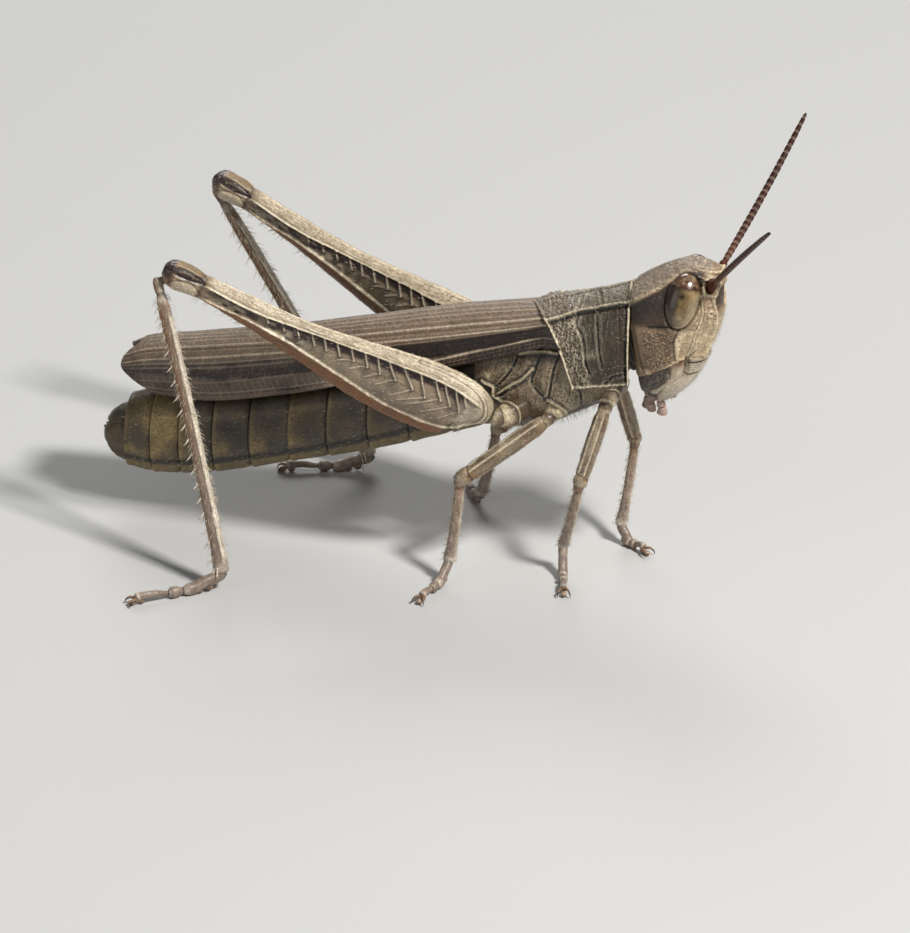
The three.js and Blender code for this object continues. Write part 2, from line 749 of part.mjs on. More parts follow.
addMesh('head', head(), TAN, 0.55);
addMesh('clypeus_labrum', lip(), STRAW, 0.5);
addMesh('mandible_right', jaw(), DARK_TAN, 0.45);
addMesh('mandible_left', mirrored(jaw()), DARK_TAN, 0.45);
addMesh('neck', cutAway(neck(), [pronotumRoom()]), DARK_TAN, 0.8);
for (const [sideName, side] of [['right', -1], ['left', 1]]) {
  addMesh(`eye_${sideName}`, eye(side), EYE_BROWN, 0.25);
  addMesh(`palp_${sideName}`, palp(side), STRAW, 0.5);
  addMesh(`antenna_${sideName}`, antenna(sideName), HORN, 0.5);
}
addMesh('pronotum', pronotum(), TAN, 0.6);
addMesh('thorax', thorax(), OLIVE, 0.6);
addMesh('abdomen_front', abdomen(0, 5), OLIVE, 0.5);
addMesh('abdomen_rear', abdomen(5, 10), OLIVE, 0.5);
addMesh('ovipositor', ovipositor(), DARK_TAN, 0.5);
addMesh('forewing_right', wing(), TAN, 0.5);
addMesh('forewing_left', mirrored(wing()), TAN, 0.5);
for (const name of Object.keys(LEGS)) {
  addMesh(`${name}_coxa`, coxaPiece(name), OLIVE, 0.55);
  addMesh(`${name}_femur`, femur(name), STRAW, 0.5);
  addMesh(`${name}_tibia`, tibia(name), STRAW, 0.5);
  addMesh(`${name}_tarsus`, tarsus(name), STRAW, 0.5);
}

export default group;
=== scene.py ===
from itertools import product

import bpy
import numpy as np
from mathutils import Matrix, Vector


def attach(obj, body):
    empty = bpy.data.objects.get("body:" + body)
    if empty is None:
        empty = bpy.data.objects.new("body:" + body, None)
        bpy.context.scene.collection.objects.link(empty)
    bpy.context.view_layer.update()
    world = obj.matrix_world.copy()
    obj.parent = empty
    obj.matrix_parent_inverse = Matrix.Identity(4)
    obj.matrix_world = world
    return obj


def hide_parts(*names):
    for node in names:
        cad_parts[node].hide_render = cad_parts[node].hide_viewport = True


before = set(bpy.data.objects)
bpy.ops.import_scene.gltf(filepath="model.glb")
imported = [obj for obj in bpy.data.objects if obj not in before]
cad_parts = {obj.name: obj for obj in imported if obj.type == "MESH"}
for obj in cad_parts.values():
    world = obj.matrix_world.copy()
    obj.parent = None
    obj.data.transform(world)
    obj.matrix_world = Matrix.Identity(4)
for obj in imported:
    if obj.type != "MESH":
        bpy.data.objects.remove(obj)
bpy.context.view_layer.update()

# A slant-faced short-horned grasshopper, female, at life size. Lengths are millimetres in the
# animal's own frame (+X the way it faces, +Y its left, the floor at z = 0) until a piece is built.

MM = 0.001
SHIFT = np.array([0.17045, 1.28105, 0.0])   # from the animal's middle plane to the part's frame
SIDES = (("right", -1), ("left", 1))

# ------------------------------------------------------------ numbers and curves


def lerp(a, b, t):
    return a + (b - a) * t


def clamp(value):
    return np.clip(value, 0, 1)


def smooth(low, high, value):
    """From 0 at low to 1 at high, level at both; low may be the greater."""
    t = clamp((value - low) / (high - low))
    return t * t * (3 - 2 * t)


def ridge(distance, width):
    """1 on a line, falling off to either side of it."""
    return np.exp(-(distance / width) ** 2)


def rounded(turn, power):
    """Cosine and sine of a turn, squared off as the power rises above 2."""
    c, s = np.cos(turn), np.sin(turn)
    return np.sign(c) * np.abs(c) ** (2 / power), np.sign(s) * np.abs(s) ** (2 / power)


def circle(count):
    """Even turns round one full circle."""
    return np.linspace(0, 2 * np.pi, count + 1)[:-1]


def sided(places, side):
    """Places given for the left side, brought to this one."""
    return np.array(places, float) * np.array([1, side, 1])


def grid(rows, columns):
    return np.meshgrid(rows, columns, indexing="ij")


def read(rows, key):
    """The value at a key between the rows of a two-column table."""
    keys, values = np.array(sorted(rows)).T
    return np.interp(key, keys, values)


def profile(rows):
    """A smooth curve through rows of (key, value, ...), without overshoot."""
    table = np.array(rows, float)
    keys, values = table[:, 0], table[:, 1:]
    slopes = np.diff(values, axis=0) / np.diff(keys)[:, None]
    before, after = slopes[:-1], slopes[1:]
    same_way = before * after > 0
    total = np.where(same_way, before + after, 1)
    inner = np.where(same_way, 2 * before * after / total, 0)
    tangents = np.vstack([slopes[:1], inner, slopes[-1:]])

    def at(key):
        key = np.asarray(key, float)
        i = np.clip(np.searchsorted(keys, key, side="right") - 1, 0, len(keys) - 2)
        span = (keys[i + 1] - keys[i])[..., None]
        t = clamp((key - keys[i])[..., None] / span)
        rise = values[i + 1] - values[i]
        start, end = tangents[i] * span, tangents[i + 1] * span
        bend = (3 * rise - 2 * start - end) * t**2 + (start + end - 2 * rise) * t**3
        return np.moveaxis(values[i] + start * t + bend, -1, 0)

    return at


def course(points, steps=8):
    """A smooth path through a few points."""
    p = np.array(points, float)
    p = np.vstack([2 * p[0] - p[1], p, 2 * p[-1] - p[-2]])
    path = []
    for a, b, c, d in zip(p[:-3], p[1:-2], p[2:-1], p[3:]):
        for t in np.arange(steps) / steps:
            path.append(0.5 * (2 * b + (c - a) * t + (2 * a - 5 * b + 4 * c - d) * t**2
                               + (3 * b - a - 3 * c + d) * t**3))
    return np.array(path + [p[-2]])


FAR = 1e9


def away(points, path):
    """Distance from every point to a path."""
    best = np.full(points.shape[:-1], FAR)
    for a, b in zip(path[:-1], path[1:]):
        ab = b - a
        t = clamp(((points - a) @ ab) / (ab @ ab + 1e-12))
        best = np.minimum(best, np.linalg.norm(points - a - t[..., None] * ab, axis=-1))
    return best


def evenly(curve, low, high, count, closed=True):
    """Parameters that walk a curve in equal steps."""
    fine = np.linspace(low, high, 4001)
    steps = np.linalg.norm(np.diff(curve(fine), axis=0), axis=1)
    reach = np.concatenate([[0], np.cumsum(steps)])
    found = np.interp(np.linspace(0, reach[-1], count + 1), reach, fine)
    return found[:-1] if closed else found


def scatter(cell, seed):
    """A repeatable number from 0 to 1 for each whole-numbered cell."""
    n = cell[..., 0] * 73856093 ^ cell[..., 1] * 19349663 ^ cell[..., 2] * 83492791 ^ seed * 2654435
    n = (n ^ (n >> 13)) & 0xFFFFFFFF
    n = (n * 1274126177) & 0xFFFFFFFF
    return ((n ^ (n >> 16)) & 0xFFFF) / 65535


def noise(points, size, seed):
    """Smooth random waves from -1 to 1 over the points, of about the given size."""
    q = np.asarray(points) / size
    base = np.floor(q).astype(np.int64)
    f = q - base
    f = f * f * (3 - 2 * f)
    total = 0
    for corner in product((0, 1), repeat=3):
        weight = 1
        for axis in range(3):
            weight = weight * (f[..., axis] if corner[axis] else 1 - f[..., axis])
        total = total + weight * scatter(base + np.array(corner), seed)
    return total * 2 - 1


def grains(points, size, seed):
    """Distance to the nearest of many scattered points, in units of their spacing."""
    q = np.asarray(points) / size
    base = np.floor(q).astype(np.int64)
    best = np.full(q.shape[:-1], 9.0)
    for corner in product((-1, 0, 1), repeat=3):
        cell = base + np.array(corner)
        spot = np.stack([scatter(cell, seed + k) for k in range(3)], -1)
        best = np.minimum(best, np.linalg.norm(cell + spot - q, axis=-1))
    return best


# ------------------------------------------------------------ nets of faces


def unit(v):
    return v / (np.linalg.norm(v, axis=-1, keepdims=True) + 1e-12)


def normals(points, centre, wrap=False):
    """Unit normals of a net of points, facing away from its centre."""
    down = np.gradient(points, axis=0)
    if wrap:
        across = np.roll(points, -1, axis=1) - np.roll(points, 1, axis=1)
    else:
        across = np.gradient(points, axis=1)
    n = unit(np.cross(down, across))
    return n * np.sign(np.sum(n * (points - np.asarray(centre))))


def folded(points):
    """The same points with the left half laid onto the right."""
    return np.stack([points[..., 0], -np.abs(points[..., 1]), points[..., 2]], -1)


def shape(points, quads, tris, paint):
    return {"points": points, "quads": quads, "tris": np.array(tris, int).reshape(-1, 3), "paint": paint}


def weave(points, facing, paint, wrap=False, ends=()):
    """Four-sided faces over rows of points, turned the way the normals face; ends are closed with fans."""
    rows, columns = points.shape[:2]
    index = np.arange(rows * columns).reshape(rows, columns)
    left = index if wrap else index[:, :-1]
    right = np.roll(index, -1, axis=1) if wrap else index[:, 1:]
    quads = np.stack([left[:-1], left[1:], right[1:], right[:-1]], -1).reshape(-1, 4)
    flat = points.reshape(-1, 3)
    face = np.cross(flat[quads[:, 1]] - flat[quads[:, 0]], flat[quads[:, 3]] - flat[quads[:, 0]])
    if np.sum(face * facing.reshape(-1, 3)[quads[:, 0]]) < 0:
        quads = quads[:, ::-1]
    tris, extra = [], []
    for end in ends:
        ring = index[end]
        middle = points[end].mean(0)
        inner = points[1 if end == 0 else -2].mean(0)
        tip = len(flat) + len(extra)
        extra.append(middle)
        fan = np.stack([ring, np.roll(ring, -1), np.full(columns, tip)], -1)
        turn = np.cross(flat[fan[0, 1]] - flat[fan[0, 0]], middle - flat[fan[0, 0]])
        if turn @ (middle - inner) < 0:
            fan = fan[:, ::-1]
        tris.append(fan)
    colours = {}
    for key, value in paint.items():
        value = clamp(np.broadcast_to(value, (rows, columns)))
        colours[key] = np.concatenate([value.ravel(), [value[end].mean() for end in ends]])
    flat = np.vstack([flat] + [e[None] for e in extra])
    return shape(flat, quads, np.vstack(tris) if tris else (), colours)


def closed(net, out, paint, rise=0.0):
    """A skin round a limb or body: a net raised along its normals, with both ends shut."""
    return weave(net + out * np.asarray(rise)[..., None], out, paint, wrap=True, ends=(0, -1))


def shell(points, out, depth, paint, rim=7):
    """A thin plate: the outer net, and its edges turned under by a few rows."""
    rows, columns = points.shape[:2]
    outer = weave(points, out, paint)
    lower = weave(points - out * depth, -out, paint)
    i, j = grid(np.arange(rows - 1), np.arange(columns - 1))
    near = (i < rim) | (j < rim) | (i >= rows - 1 - rim) | (j >= columns - 1 - rim)
    lower["quads"] = lower["quads"][near.ravel()]
    index = np.arange(rows * columns).reshape(rows, columns)
    edge = np.concatenate([index[0, :-1], index[:-1, -1], index[-1, :0:-1], index[:0:-1, 0]])
    after = np.roll(edge, -1)
    count = rows * columns
    seam = np.stack([edge, after, after + count, edge + count], -1)
    whole = join([outer, lower])
    p = whole["points"]
    face = np.cross(p[seam[:, 1]] - p[seam[:, 0]], p[seam[:, 3]] - p[seam[:, 0]])
    if np.sum(face * (p[seam[:, 0]] - points.reshape(-1, 3).mean(0))) < 0:
        seam = seam[:, ::-1]
    whole["quads"] = np.vstack([whole["quads"], seam])
    return trimmed(whole)


def trimmed(part):
    """The same shape without the points that no face uses."""
    used = np.unique(np.concatenate([part["quads"].ravel(), part["tris"].ravel()]))
    place = np.zeros(len(part["points"]), int)
    place[used] = np.arange(len(used))
    paint = {key: value[used] for key, value in part["paint"].items()}
    return shape(part["points"][used], place[part["quads"]], place[part["tris"]], paint)


def join(parts):
    sizes = [len(part["points"]) for part in parts]
    bases = np.cumsum([0] + sizes[:-1])
    points = np.vstack([part["points"] for part in parts])
    quads = np.vstack([part["quads"] + base for part, base in zip(parts, bases)])
    tris = np.vstack([part["tris"] + base for part, base in zip(parts, bases)])
    paint = {}
    for key in sorted({key for part in parts for key in part["paint"]}):
        values = [part["paint"].get(key, np.zeros(size)) for part, size in zip(parts, sizes)]
        paint[key] = np.concatenate(values)
    return shape(points, quads, tris, paint)


def mirrored(part):
    flip = part["points"] * np.array([1, -1, 1])
    return shape(flip, part["quads"][:, ::-1], part["tris"][:, ::-1], part["paint"])


def new_mesh(name, part):
    mesh = bpy.data.meshes.new(name)
    quads, tris = part["quads"], part["tris"]
    mesh.vertices.add(len(part["points"]))
    mesh.vertices.foreach_set("co", ((part["points"] + SHIFT) * MM).ravel())
    loops = np.concatenate([quads.ravel(), tris.ravel()]).astype(np.int32)
    starts = np.concatenate([np.arange(len(quads)) * 4, len(quads) * 4 + np.arange(len(tris)) * 3])
    mesh.loops.add(len(loops))
    mesh.loops.foreach_set("vertex_index", loops)
    mesh.polygons.add(len(starts))
    mesh.polygons.foreach_set("loop_start", starts.astype(np.int32))
    mesh.update(calc_edges=True)
    mesh.polygons.foreach_set("use_smooth", np.ones(len(starts), bool))
    for key, value in part["paint"].items():
        mesh.attributes.new(key, "FLOAT", "POINT").data.foreach_set("value", np.ascontiguousarray(value))
    return mesh


def build(name, part, material, slot, nodes=()):
    """One shown piece of the animal, in the place of the named solids."""
    piece = bpy.data.objects.new(name, new_mesh(name, part))
    bpy.context.scene.collection.objects.link(piece)
    piece.data.materials.append(material)
    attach(piece, "root")
    if nodes:
        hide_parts(*nodes)
    return piece


# ------------------------------------------------------------ materials


def tone(text):
    channels = [int(text[i:i + 2], 16) / 255 for i in (1, 3, 5)]
    linear = [c / 12.92 if c <= 0.04045 else ((c + 0.055) / 1.055) ** 2.4 for c in channels]
    return (*linear, 1.0)


class Graph:
    """A material's node tree, built one node at a time."""

    def __init__(self, name):
        self.material = bpy.data.materials.new(name)
        self.material.use_nodes = True
        self.tree = self.material.node_tree
        self.tree.nodes.clear()

    def node(self, kind, inputs=None, **settings):
        node = self.tree.nodes.new(kind)
        for key, value in settings.items():
            setattr(node, key, value)
        for key, value in (inputs or {}).items():
            if isinstance(value, bpy.types.NodeSocket):
                self.tree.links.new(value, node.inputs[key])
            else:
                node.inputs[key].default_value = value
        return node

    def mix(self, factor, a, b, blend="MIX"):
        node = self.node("ShaderNodeMix", {0: factor, 6: a, 7: b}, data_type="RGBA", blend_type=blend)
        return node.outputs[2]

    def maths(self, operation, a, b, clamp=False):
        return self.node("ShaderNodeMath", {0: a, 1: b}, operation=operation, use_clamp=clamp).outputs[0]

    def spread(self, value, low, high, to_low, to_high):
        inputs = {0: value, 1: low, 2: high, 3: to_low, 4: to_high}
        return self.node("ShaderNodeMapRange", inputs).outputs[0]

    def weight(self, name):
        return self.node("ShaderNodeAttribute", attribute_name=name).outputs["Fac"]

    def skin(self, inputs):
        """Close the tree with one principled surface, and return the material."""
        surface = self.node("ShaderNodeBsdfPrincipled", inputs)
        self.node("ShaderNodeOutputMaterial", {"Surface": surface.outputs[0]})
        return self.material


def tinted(graph, colour, layers):
    """Lay each tone over the colour where the piece's attribute of that name is painted."""
    for layer, shade, amount in layers:
        factor = graph.maths("MULTIPLY", graph.weight(layer), amount, clamp=True)
        colour = graph.mix(factor, colour, tone(shade))
    return colour


def in_millimetres(graph):
    place = graph.node("ShaderNodeTexCoord").outputs["Object"]
    return graph.node("ShaderNodeMapping", {"Vector": place, "Scale": (1000, 1000, 1000)}).outputs[0]


def cuticle(name, tones, rough, fine=46.0, depth=1.6e-5, speckle=0.35, glow=0.06, coat=0.0, ior=1.52):
    """Horn-like skin; tones are the base and the grey, warm, pale and dark painted over it, or - for none."""
    g = Graph(name)
    mm = in_millimetres(g)
    cloud = g.node("ShaderNodeTexNoise", {"Vector": mm, "Scale": 2.4, "Detail": 5.0}).outputs[0]
    mottle = g.node("ShaderNodeTexNoise", {"Vector": mm, "Scale": 13.0, "Detail": 4.0}).outputs[0]
    grain = g.node("ShaderNodeTexNoise", {"Vector": mm, "Scale": fine, "Detail": 2.0}).outputs[0]
    cell = g.node("ShaderNodeTexVoronoi", {"Vector": mm, "Scale": 15.0}).outputs["Distance"]
    base, *over = tones.split()
    edge = g.spread(mottle, 0.3, 0.7, 0.72, 1.22)
    layers = zip(("grey", "warm", "pale", "dark"), over)
    colour = tinted(g, tone(base), [(layer, shade, edge) for layer, shade in layers if shade != "-"])
    shade = g.spread(cloud, 0.3, 0.7, 0.82, 1.14)
    dust = g.spread(mottle, 0.28, 0.72, 1 - speckle, 1 + speckle * 0.7)
    light = g.maths("MULTIPLY", shade, dust)
    light_colour = g.node("ShaderNodeCombineColor", {0: light, 1: light, 2: light}).outputs[0]
    small = g.maths("MULTIPLY", grain, 0.5)
    large = g.maths("MULTIPLY", g.maths("MINIMUM", cell, 0.5), 0.5)
    relief = g.maths("ADD", small, large)
    bump = g.node("ShaderNodeBump", {"Strength": 1.0, "Distance": depth, "Height": relief})
    return g.skin({
        "Base Color": g.mix(1.0, colour, light_colour, "MULTIPLY"),
        "Roughness": g.spread(mottle, 0.3, 0.7, *rough),
        "Normal": bump.outputs[0],
        "Subsurface Weight": glow,
        "Subsurface Radius": (0.9, 0.5, 0.25),
        "Subsurface Scale": 0.0002,
        "IOR": ior,
        "Coat Weight": coat,
        "Coat Roughness": 0.18,
    })


FACE = cuticle("face_horn", "#a3886a #7c7166 #5c3a1f #e2cda9 #1c150f", (0.32, 0.48), depth=2.6e-5,
               speckle=0.42, coat=0.14)
SHIELD = cuticle("shield_horn", "#4f4431 #736a60 #5f3f2c #e2d3b4 #120d09", (0.26, 0.44), depth=2.4e-5,
                 speckle=0.36, coat=0.2)
SIDE = cuticle("side_horn", "#695741 #675d50 #65472d #dac9a6 #17100b", (0.24, 0.42), depth=2.6e-5,
               speckle=0.38, coat=0.26)
MOUTH = cuticle("mouth_horn", "#a38f76 #7f6f5c #733f20 #d6cab2 #17100a", (0.28, 0.42), coat=0.15)
PALP = cuticle("palp_skin", "#b49c90 - #87655a #e0d4ca #3f2b21", (0.3, 0.42), glow=0.2)
HORN = cuticle("antenna_horn", "#381a13 - #5c2f1d #9d8873 #180c08", (0.38, 0.52), fine=60.0, speckle=0.25,
               ior=1.28)
BELLY = cuticle("belly_plate", "#3d3528 #5c5343 #675131 #96814f #17120c", (0.33, 0.5), speckle=0.42, glow=0.1)
LEG = cuticle("leg_horn", "#8d775a #7b7267 #85501f #dfd0b4 #2a1819", (0.30, 0.45), speckle=0.26, coat=0.12)
SHIN = cuticle("shin_horn", "#8b7562 #867a74 #85562b #e2d6c3 #20140e", (0.30, 0.44), speckle=0.26, coat=0.12)
WING = cuticle("wing_leather", "#6c5847 #5c5046 #6a4d38 #cbbaa0 #19110c", (0.4, 0.56), fine=34.0,
               speckle=0.3)
MEMBRANE = cuticle("joint_skin", "#3e3223 - - #75654c #17100a", (0.45, 0.6))
BRISTLE = cuticle("bristle", "#d8ccb0 - - - #6b5238", (0.3, 0.42), speckle=0.1)


def eye_material():
    """A glossy many-faceted eye, tan where nothing is painted."""
    g = Graph("compound_eye")
    mm = in_millimetres(g)
    cloud = g.node("ShaderNodeTexNoise", {"Vector": mm, "Scale": 5.0, "Detail": 4.0}).outputs[0]
    facets = g.node("ShaderNodeTexVoronoi", {"Vector": mm, "Scale": 34.0}).outputs["Distance"]
    tan = g.mix(g.spread(cloud, 0.3, 0.7, 0.0, 1.0), tone("#927a54"), tone("#655036"))
    shades = (("grey", "#3a2c1b"), ("warm", "#4d2c23"), ("pale", "#c4b088"), ("dark", "#0f0805"))
    bump = g.node("ShaderNodeBump", {"Strength": 0.5, "Distance": 6e-6, "Height": facets})
    return g.skin({
        "Base Color": tinted(g, tan, [(layer, shade, 1.0) for layer, shade in shades]),
        "Roughness": g.spread(cloud, 0.3, 0.7, 0.16, 0.26),
        "Normal": bump.outputs[0],
        "IOR": 1.5,
        "Coat Weight": 0.5,
        "Coat Roughness": 0.06,
    })


EYE = eye_material()

# ------------------------------------------------------------ head

# Height, back, front and half width of the head capsule.
HEAD_AT = profile([
    [5.62, 6.40, 6.85, 0.42], [5.95, 6.20, 7.22, 0.88], [6.55, 6.04, 7.76, 1.22], [7.15, 5.93, 8.06, 1.38],
    [8.00, 5.79, 8.38, 1.45], [8.80, 5.67, 8.60, 1.41], [9.30, 5.67, 8.69, 1.24], [9.65, 5.99, 8.68, 1.01],
    [10.01, 6.48, 8.58, 0.76], [10.30, 6.96, 8.35, 0.54], [10.44, 7.33, 7.97, 0.26],
    [10.465, 7.58, 7.66, 0.02],
])


def head(z, turn):
    """The head's bare surface: turn 0 is the front and grows to the left."""
    back, front, wide = HEAD_AT(z)
    power = np.where(np.cos(turn) > 0, 1.75, lerp(3.6, 2.2, smooth(9.0, 10.2, z)))
    along, across = rounded(turn, power)
    middle = lerp(back, front, 0.42)
    reach = np.where(along > 0, front - middle, middle - back)
    return np.stack([middle + reach * along, wide * across, z + 0 * along], -1)


EYE_CENTRE = np.array([7.42, 0.92, 9.42])
EYE_SIZE = np.array([0.53, 0.50, 0.89])
CHEEK_RING, CHEEK_KNOB, OCELLUS = (8.29, -0.73, 9.01), (8.26, -0.72, 8.67), (7.94, -0.66, 9.97)


def eye_frame(side):
    """The eye's own axes, as rows: forward, outward and up."""
    lean, tilt = 0.20, side * 0.38
    tip = np.array([[1, 0, 0], [0, np.cos(tilt), -np.sin(tilt)], [0, np.sin(tilt), np.cos(tilt)]])
    roll = np.array([[np.cos(lean), 0, np.sin(lean)], [0, 1, 0], [-np.sin(lean), 0, np.cos(lean)]])
    return (roll @ tip).T


def in_right_eye(points):
    """Points in the right eye's own axes."""
    return (points - sided(EYE_CENTRE, -1)) @ eye_frame(-1).T


ANTENNA_WAY = {"right": np.array([2.46, -3.79, 3.95]), "left": np.array([1.82, 4.68, 3.28])}


def antenna_root(side):
    return np.array([8.16, side * 0.44, 9.72])


def from_right_antenna(points):
    """Distance from the line on which the right feeler starts."""
    return np.linalg.norm(np.cross(points - antenna_root(-1), unit(ANTENNA_WAY["right"])), axis=-1)


def inside(points, x_low, x_high, z_low, z_high, soft=0.12):
    x, z = points[..., 0], points[..., 2]
    across = smooth(x_low - soft, x_low + soft, x) * smooth(x_high + soft, x_high - soft, x)
    return across * smooth(z_low - soft, z_low + soft, z) * smooth(z_high + soft, z_high - soft, z)


CROWN_EDGE = [(5.5, -0.9, 8.9), (5.88, -1.02, 9.22), (6.24, -1.02, 9.49), (6.70, -0.89, 9.76),
              (7.09, -0.71, 10.04), (7.34, -0.56, 10.22), (7.68, -0.40, 10.32)]
CHEEK_KEEL = [(7.88, -0.70, 9.94), (7.88, -0.77, 9.80), (8.02, -0.85, 9.44), (8.07, -0.93, 9.01),
              (7.97, -1.00, 8.60), (7.87, -1.04, 8.26), (7.74, -1.07, 7.81), (7.68, -1.1, 7.66)]
BROW_KEEL = [(10.17, 0.20), (9.98, 0.33), (9.75, 0.48), (9.55, 0.60), (9.30, 0.64), (9.05, 0.60),
             (8.80, 0.53), (8.50, 0.49), (8.25, 0.48), (7.79, 0.50), (7.5, 0.53)]
EYE_LINE = [(6.47, -1.42, 8.63), (6.60, -1.42, 8.65), (7.03, -1.41, 8.71), (7.50, -1.28, 8.76)]
CHEEK_FURROW = [(7.45, -1.30, 8.72), (7.36, -1.34, 8.45), (7.28, -1.37, 8.19), (7.33, -1.29, 7.55)]
CHEEK_HEM = [(6.05, -1.30, 7.2), (6.39, -1.35, 7.15), (6.68, -1.35, 6.99), (6.99, -1.37, 7.22),
             (7.31, -1.29, 7.50), (7.56, -1.16, 7.60)]
NAPE_LINE = [(5.88, -1.15, 9.12), (5.95, -1.23, 8.59), (6.09, -1.31, 8.04), (6.22, -1.33, 7.45),
             (6.38, -1.34, 7.11)]
BROW_EDGE = [(7.59, -0.41, 10.32), (7.91, -0.41, 10.28), (8.22, -0.30, 10.22), (8.40, -0.17, 10.18),
             (8.47, 0.0, 10.16)]
EYE_ROOF = [(6.75, -0.93, 9.86), (7.05, -0.80, 10.10), (7.40, -0.70, 10.22), (7.75, -0.64, 10.20),
            (8.05, -0.58, 10.08), (8.27, -0.50, 9.98)]

FACE_EDGE = (np.array([7.6, 0, 7.67]), np.array([-0.42, 0, -0.91]))
CHEEK_EDGE = (np.array([6.5, 0, 7.0]), np.array([0.49, 0, -0.87]))
LIP_REAR = (np.array([7.15, 0, 6.6]), np.array([0.83, 0, -0.55]))


def on_face(rows):
    """Points on the right front of the head at these heights and distances from the middle."""
    z, y = np.array(rows, float).T
    back, front, wide = HEAD_AT(z)
    middle = lerp(back, front, 0.42)
    x = middle + (front - middle) * (1 - (y / wide) ** 1.75) ** 0.571
    return np.stack([x, -y, z], -1)


def past(points, edge):
    return (points - edge[0]) @ edge[1]


def head_capsule():
    """The head with its keels, furrows, pits and sockets; what it says of the right side holds for both."""
    turns = evenly(lambda t: head(8.0, t), -np.pi, np.pi, 300)
    levels = evenly(lambda z: head(z, -0.9), 5.64, 10.464, 280, closed=False)
    z, turn = grid(levels, turns)
    bare = head(z, turn)
    out = normals(bare, (7.1, 0, 8.3), wrap=True)
    p = folded(bare)
    x, y = p[..., 0], p[..., 1]
    front = smooth(7.3, 7.9, x)

    crown = course(CROWN_EDGE)
    above = z - np.interp(x, crown[:, 0], crown[:, 2])
    on_crown = smooth(-0.03, 0.05, above) * smooth(8.6, 8.35, x)
    crown_line, brow = away(p, crown), away(p, on_face(BROW_KEEL))
    lines = (CHEEK_KEEL, EYE_LINE, CHEEK_FURROW, CHEEK_HEM, NAPE_LINE, BROW_EDGE, EYE_ROOF)
    cheek, eye_line, furrow, hem, nape, brow_edge, eye_roof = (away(p, course(line)) for line in lines)

    local = in_right_eye(p)
    eye_gap = (np.linalg.norm(local / EYE_SIZE, axis=-1) - 1) * 0.5
    low_front = smooth(-0.1, 0.3, local[..., 0] / 0.5 - local[..., 2] / 0.9)

    socket = from_right_antenna(p)
    coarse = grains(p, 0.085, 3)
    granules = grains(p, 0.062, 6)
    fine = grains(p, 0.05, 8)
    soft = noise(p, 0.35, 5)
    wrinkle = noise(p * np.array([1, 1, 2.4]), 0.12, 11)
    strands = noise(p * np.array([0.5, 1, 1]), 0.06, 12)

    brow_y = read(BROW_KEEL, z)
    between = smooth(1.05, 0.7, -y / brow_y) * smooth(7.8, 8.1, x)
    hollow = between * smooth(8.85, 9.15, z) * smooth(9.92, 9.72, z)
    plain = between * smooth(9.15, 8.85, z)
    cheek_area = inside(p, 6.32, 7.29, 7.15, 8.56) * smooth(0.02, 0.12, past(p, CHEEK_EDGE) * -1)
    off_furrow = x - read([(height, ahead) for ahead, _, height in CHEEK_FURROW], z)
    patch_wide = lerp(0.08, 0.26, smooth(7.6, 8.6, z))
    patch = smooth(0.0, 0.05, off_furrow) * smooth(patch_wide + 0.08, patch_wide, off_furrow)
    patch *= smooth(7.55, 7.7, z) * smooth(8.66, 8.5, z)
    # temple: the band behind the eye, the animal's own dark stripe deepened with painted shade; it is painted
    # warm and dark below.
    temple = smooth(0.0, -0.1, above) * smooth(8.5, 8.75, z) * smooth(0.5, 0.25, local[..., 0])
    spots = (CHEEK_RING, CHEEK_KNOB, OCELLUS)
    ring_at, knob_at, ocellus = (np.linalg.norm(p - spot, axis=-1) for spot in spots)

    rise = 0.015 * soft + 0.008 * wrinkle
    rise += -0.016 * ridge(fine, 0.33) * (1 - cheek_area)
    rise += -0.034 * smooth(0.2, 0.55, granules) * cheek_area + 0.034 * cheek_area
    rise += on_crown * (0.016 - 0.026 * ridge(coarse, 0.3) + 0.010 * strands)
    rise += -0.035 * ridge(crown_line, 0.09) * ridge(coarse, 0.36) + 0.03 * ridge(crown_line - 0.02, 0.06)
    rise += -0.06 * smooth(0.0, -0.12, above) * smooth(-0.9, -0.3, above) * smooth(7.3, 7.0, x)
    rise += 0.05 * ridge(cheek, 0.035) + 0.02 * ridge(cheek - 0.10, 0.03) - 0.03 * ridge(cheek - 0.06, 0.03)
    rise += 0.12 * ridge(brow, 0.06) - 0.15 * hollow - 0.03 * plain
    rise += 0.035 * ridge(eye_roof, 0.045) - 0.02 * ridge(eye_roof - 0.09, 0.03)
    rise += 0.06 * ridge(brow_edge, 0.045) - 0.02 * smooth(8.3, 7.9, x) * smooth(10.1, 10.3, z)
    rise += 0.045 * ridge(eye_gap - 0.055, 0.04) * (0.25 + 0.75 * low_front) - 0.035 * ridge(eye_gap, 0.02)
    for k in range(3):
        rise += 0.014 * ridge(eye_gap - 0.10 - 0.05 * k, 0.015) * low_front
    rise += -0.045 * ridge(eye_line, 0.03) - 0.04 * ridge(furrow, 0.035) - 0.03 * ridge(nape, 0.05)
    rise += 0.05 * ridge(hem, 0.06) * (1 + 0.5 * wrinkle)
    rise += 0.055 * ridge(ring_at - 0.085, 0.03) + 0.045 * ridge(knob_at, 0.07)
    rise += 0.11 * ridge(socket - 0.25, 0.06) * front - 0.08 * ridge(socket, 0.16) * front
    rise += -0.05 * ridge(ocellus - 0.11, 0.03) + 0.05 * ridge(ocellus, 0.08)
    rise += 0.03 * ridge(np.abs(y), 0.03) * on_crown * smooth(7.4, 6.6, x)

    lip_side = smooth(-0.04, 0.02, past(p, LIP_REAR))
    mouth = smooth(0.0, 0.05, past(p, FACE_EDGE)) * lip_side
    mouth = np.maximum(mouth, smooth(0.0, 0.05, past(p, CHEEK_EDGE)) * (1 - lip_side))
    sink = lerp(1, 0.6, smooth(6.4, 5.8, z))
    rise = rise * (1 - mouth) - 0.2 * mouth * sink

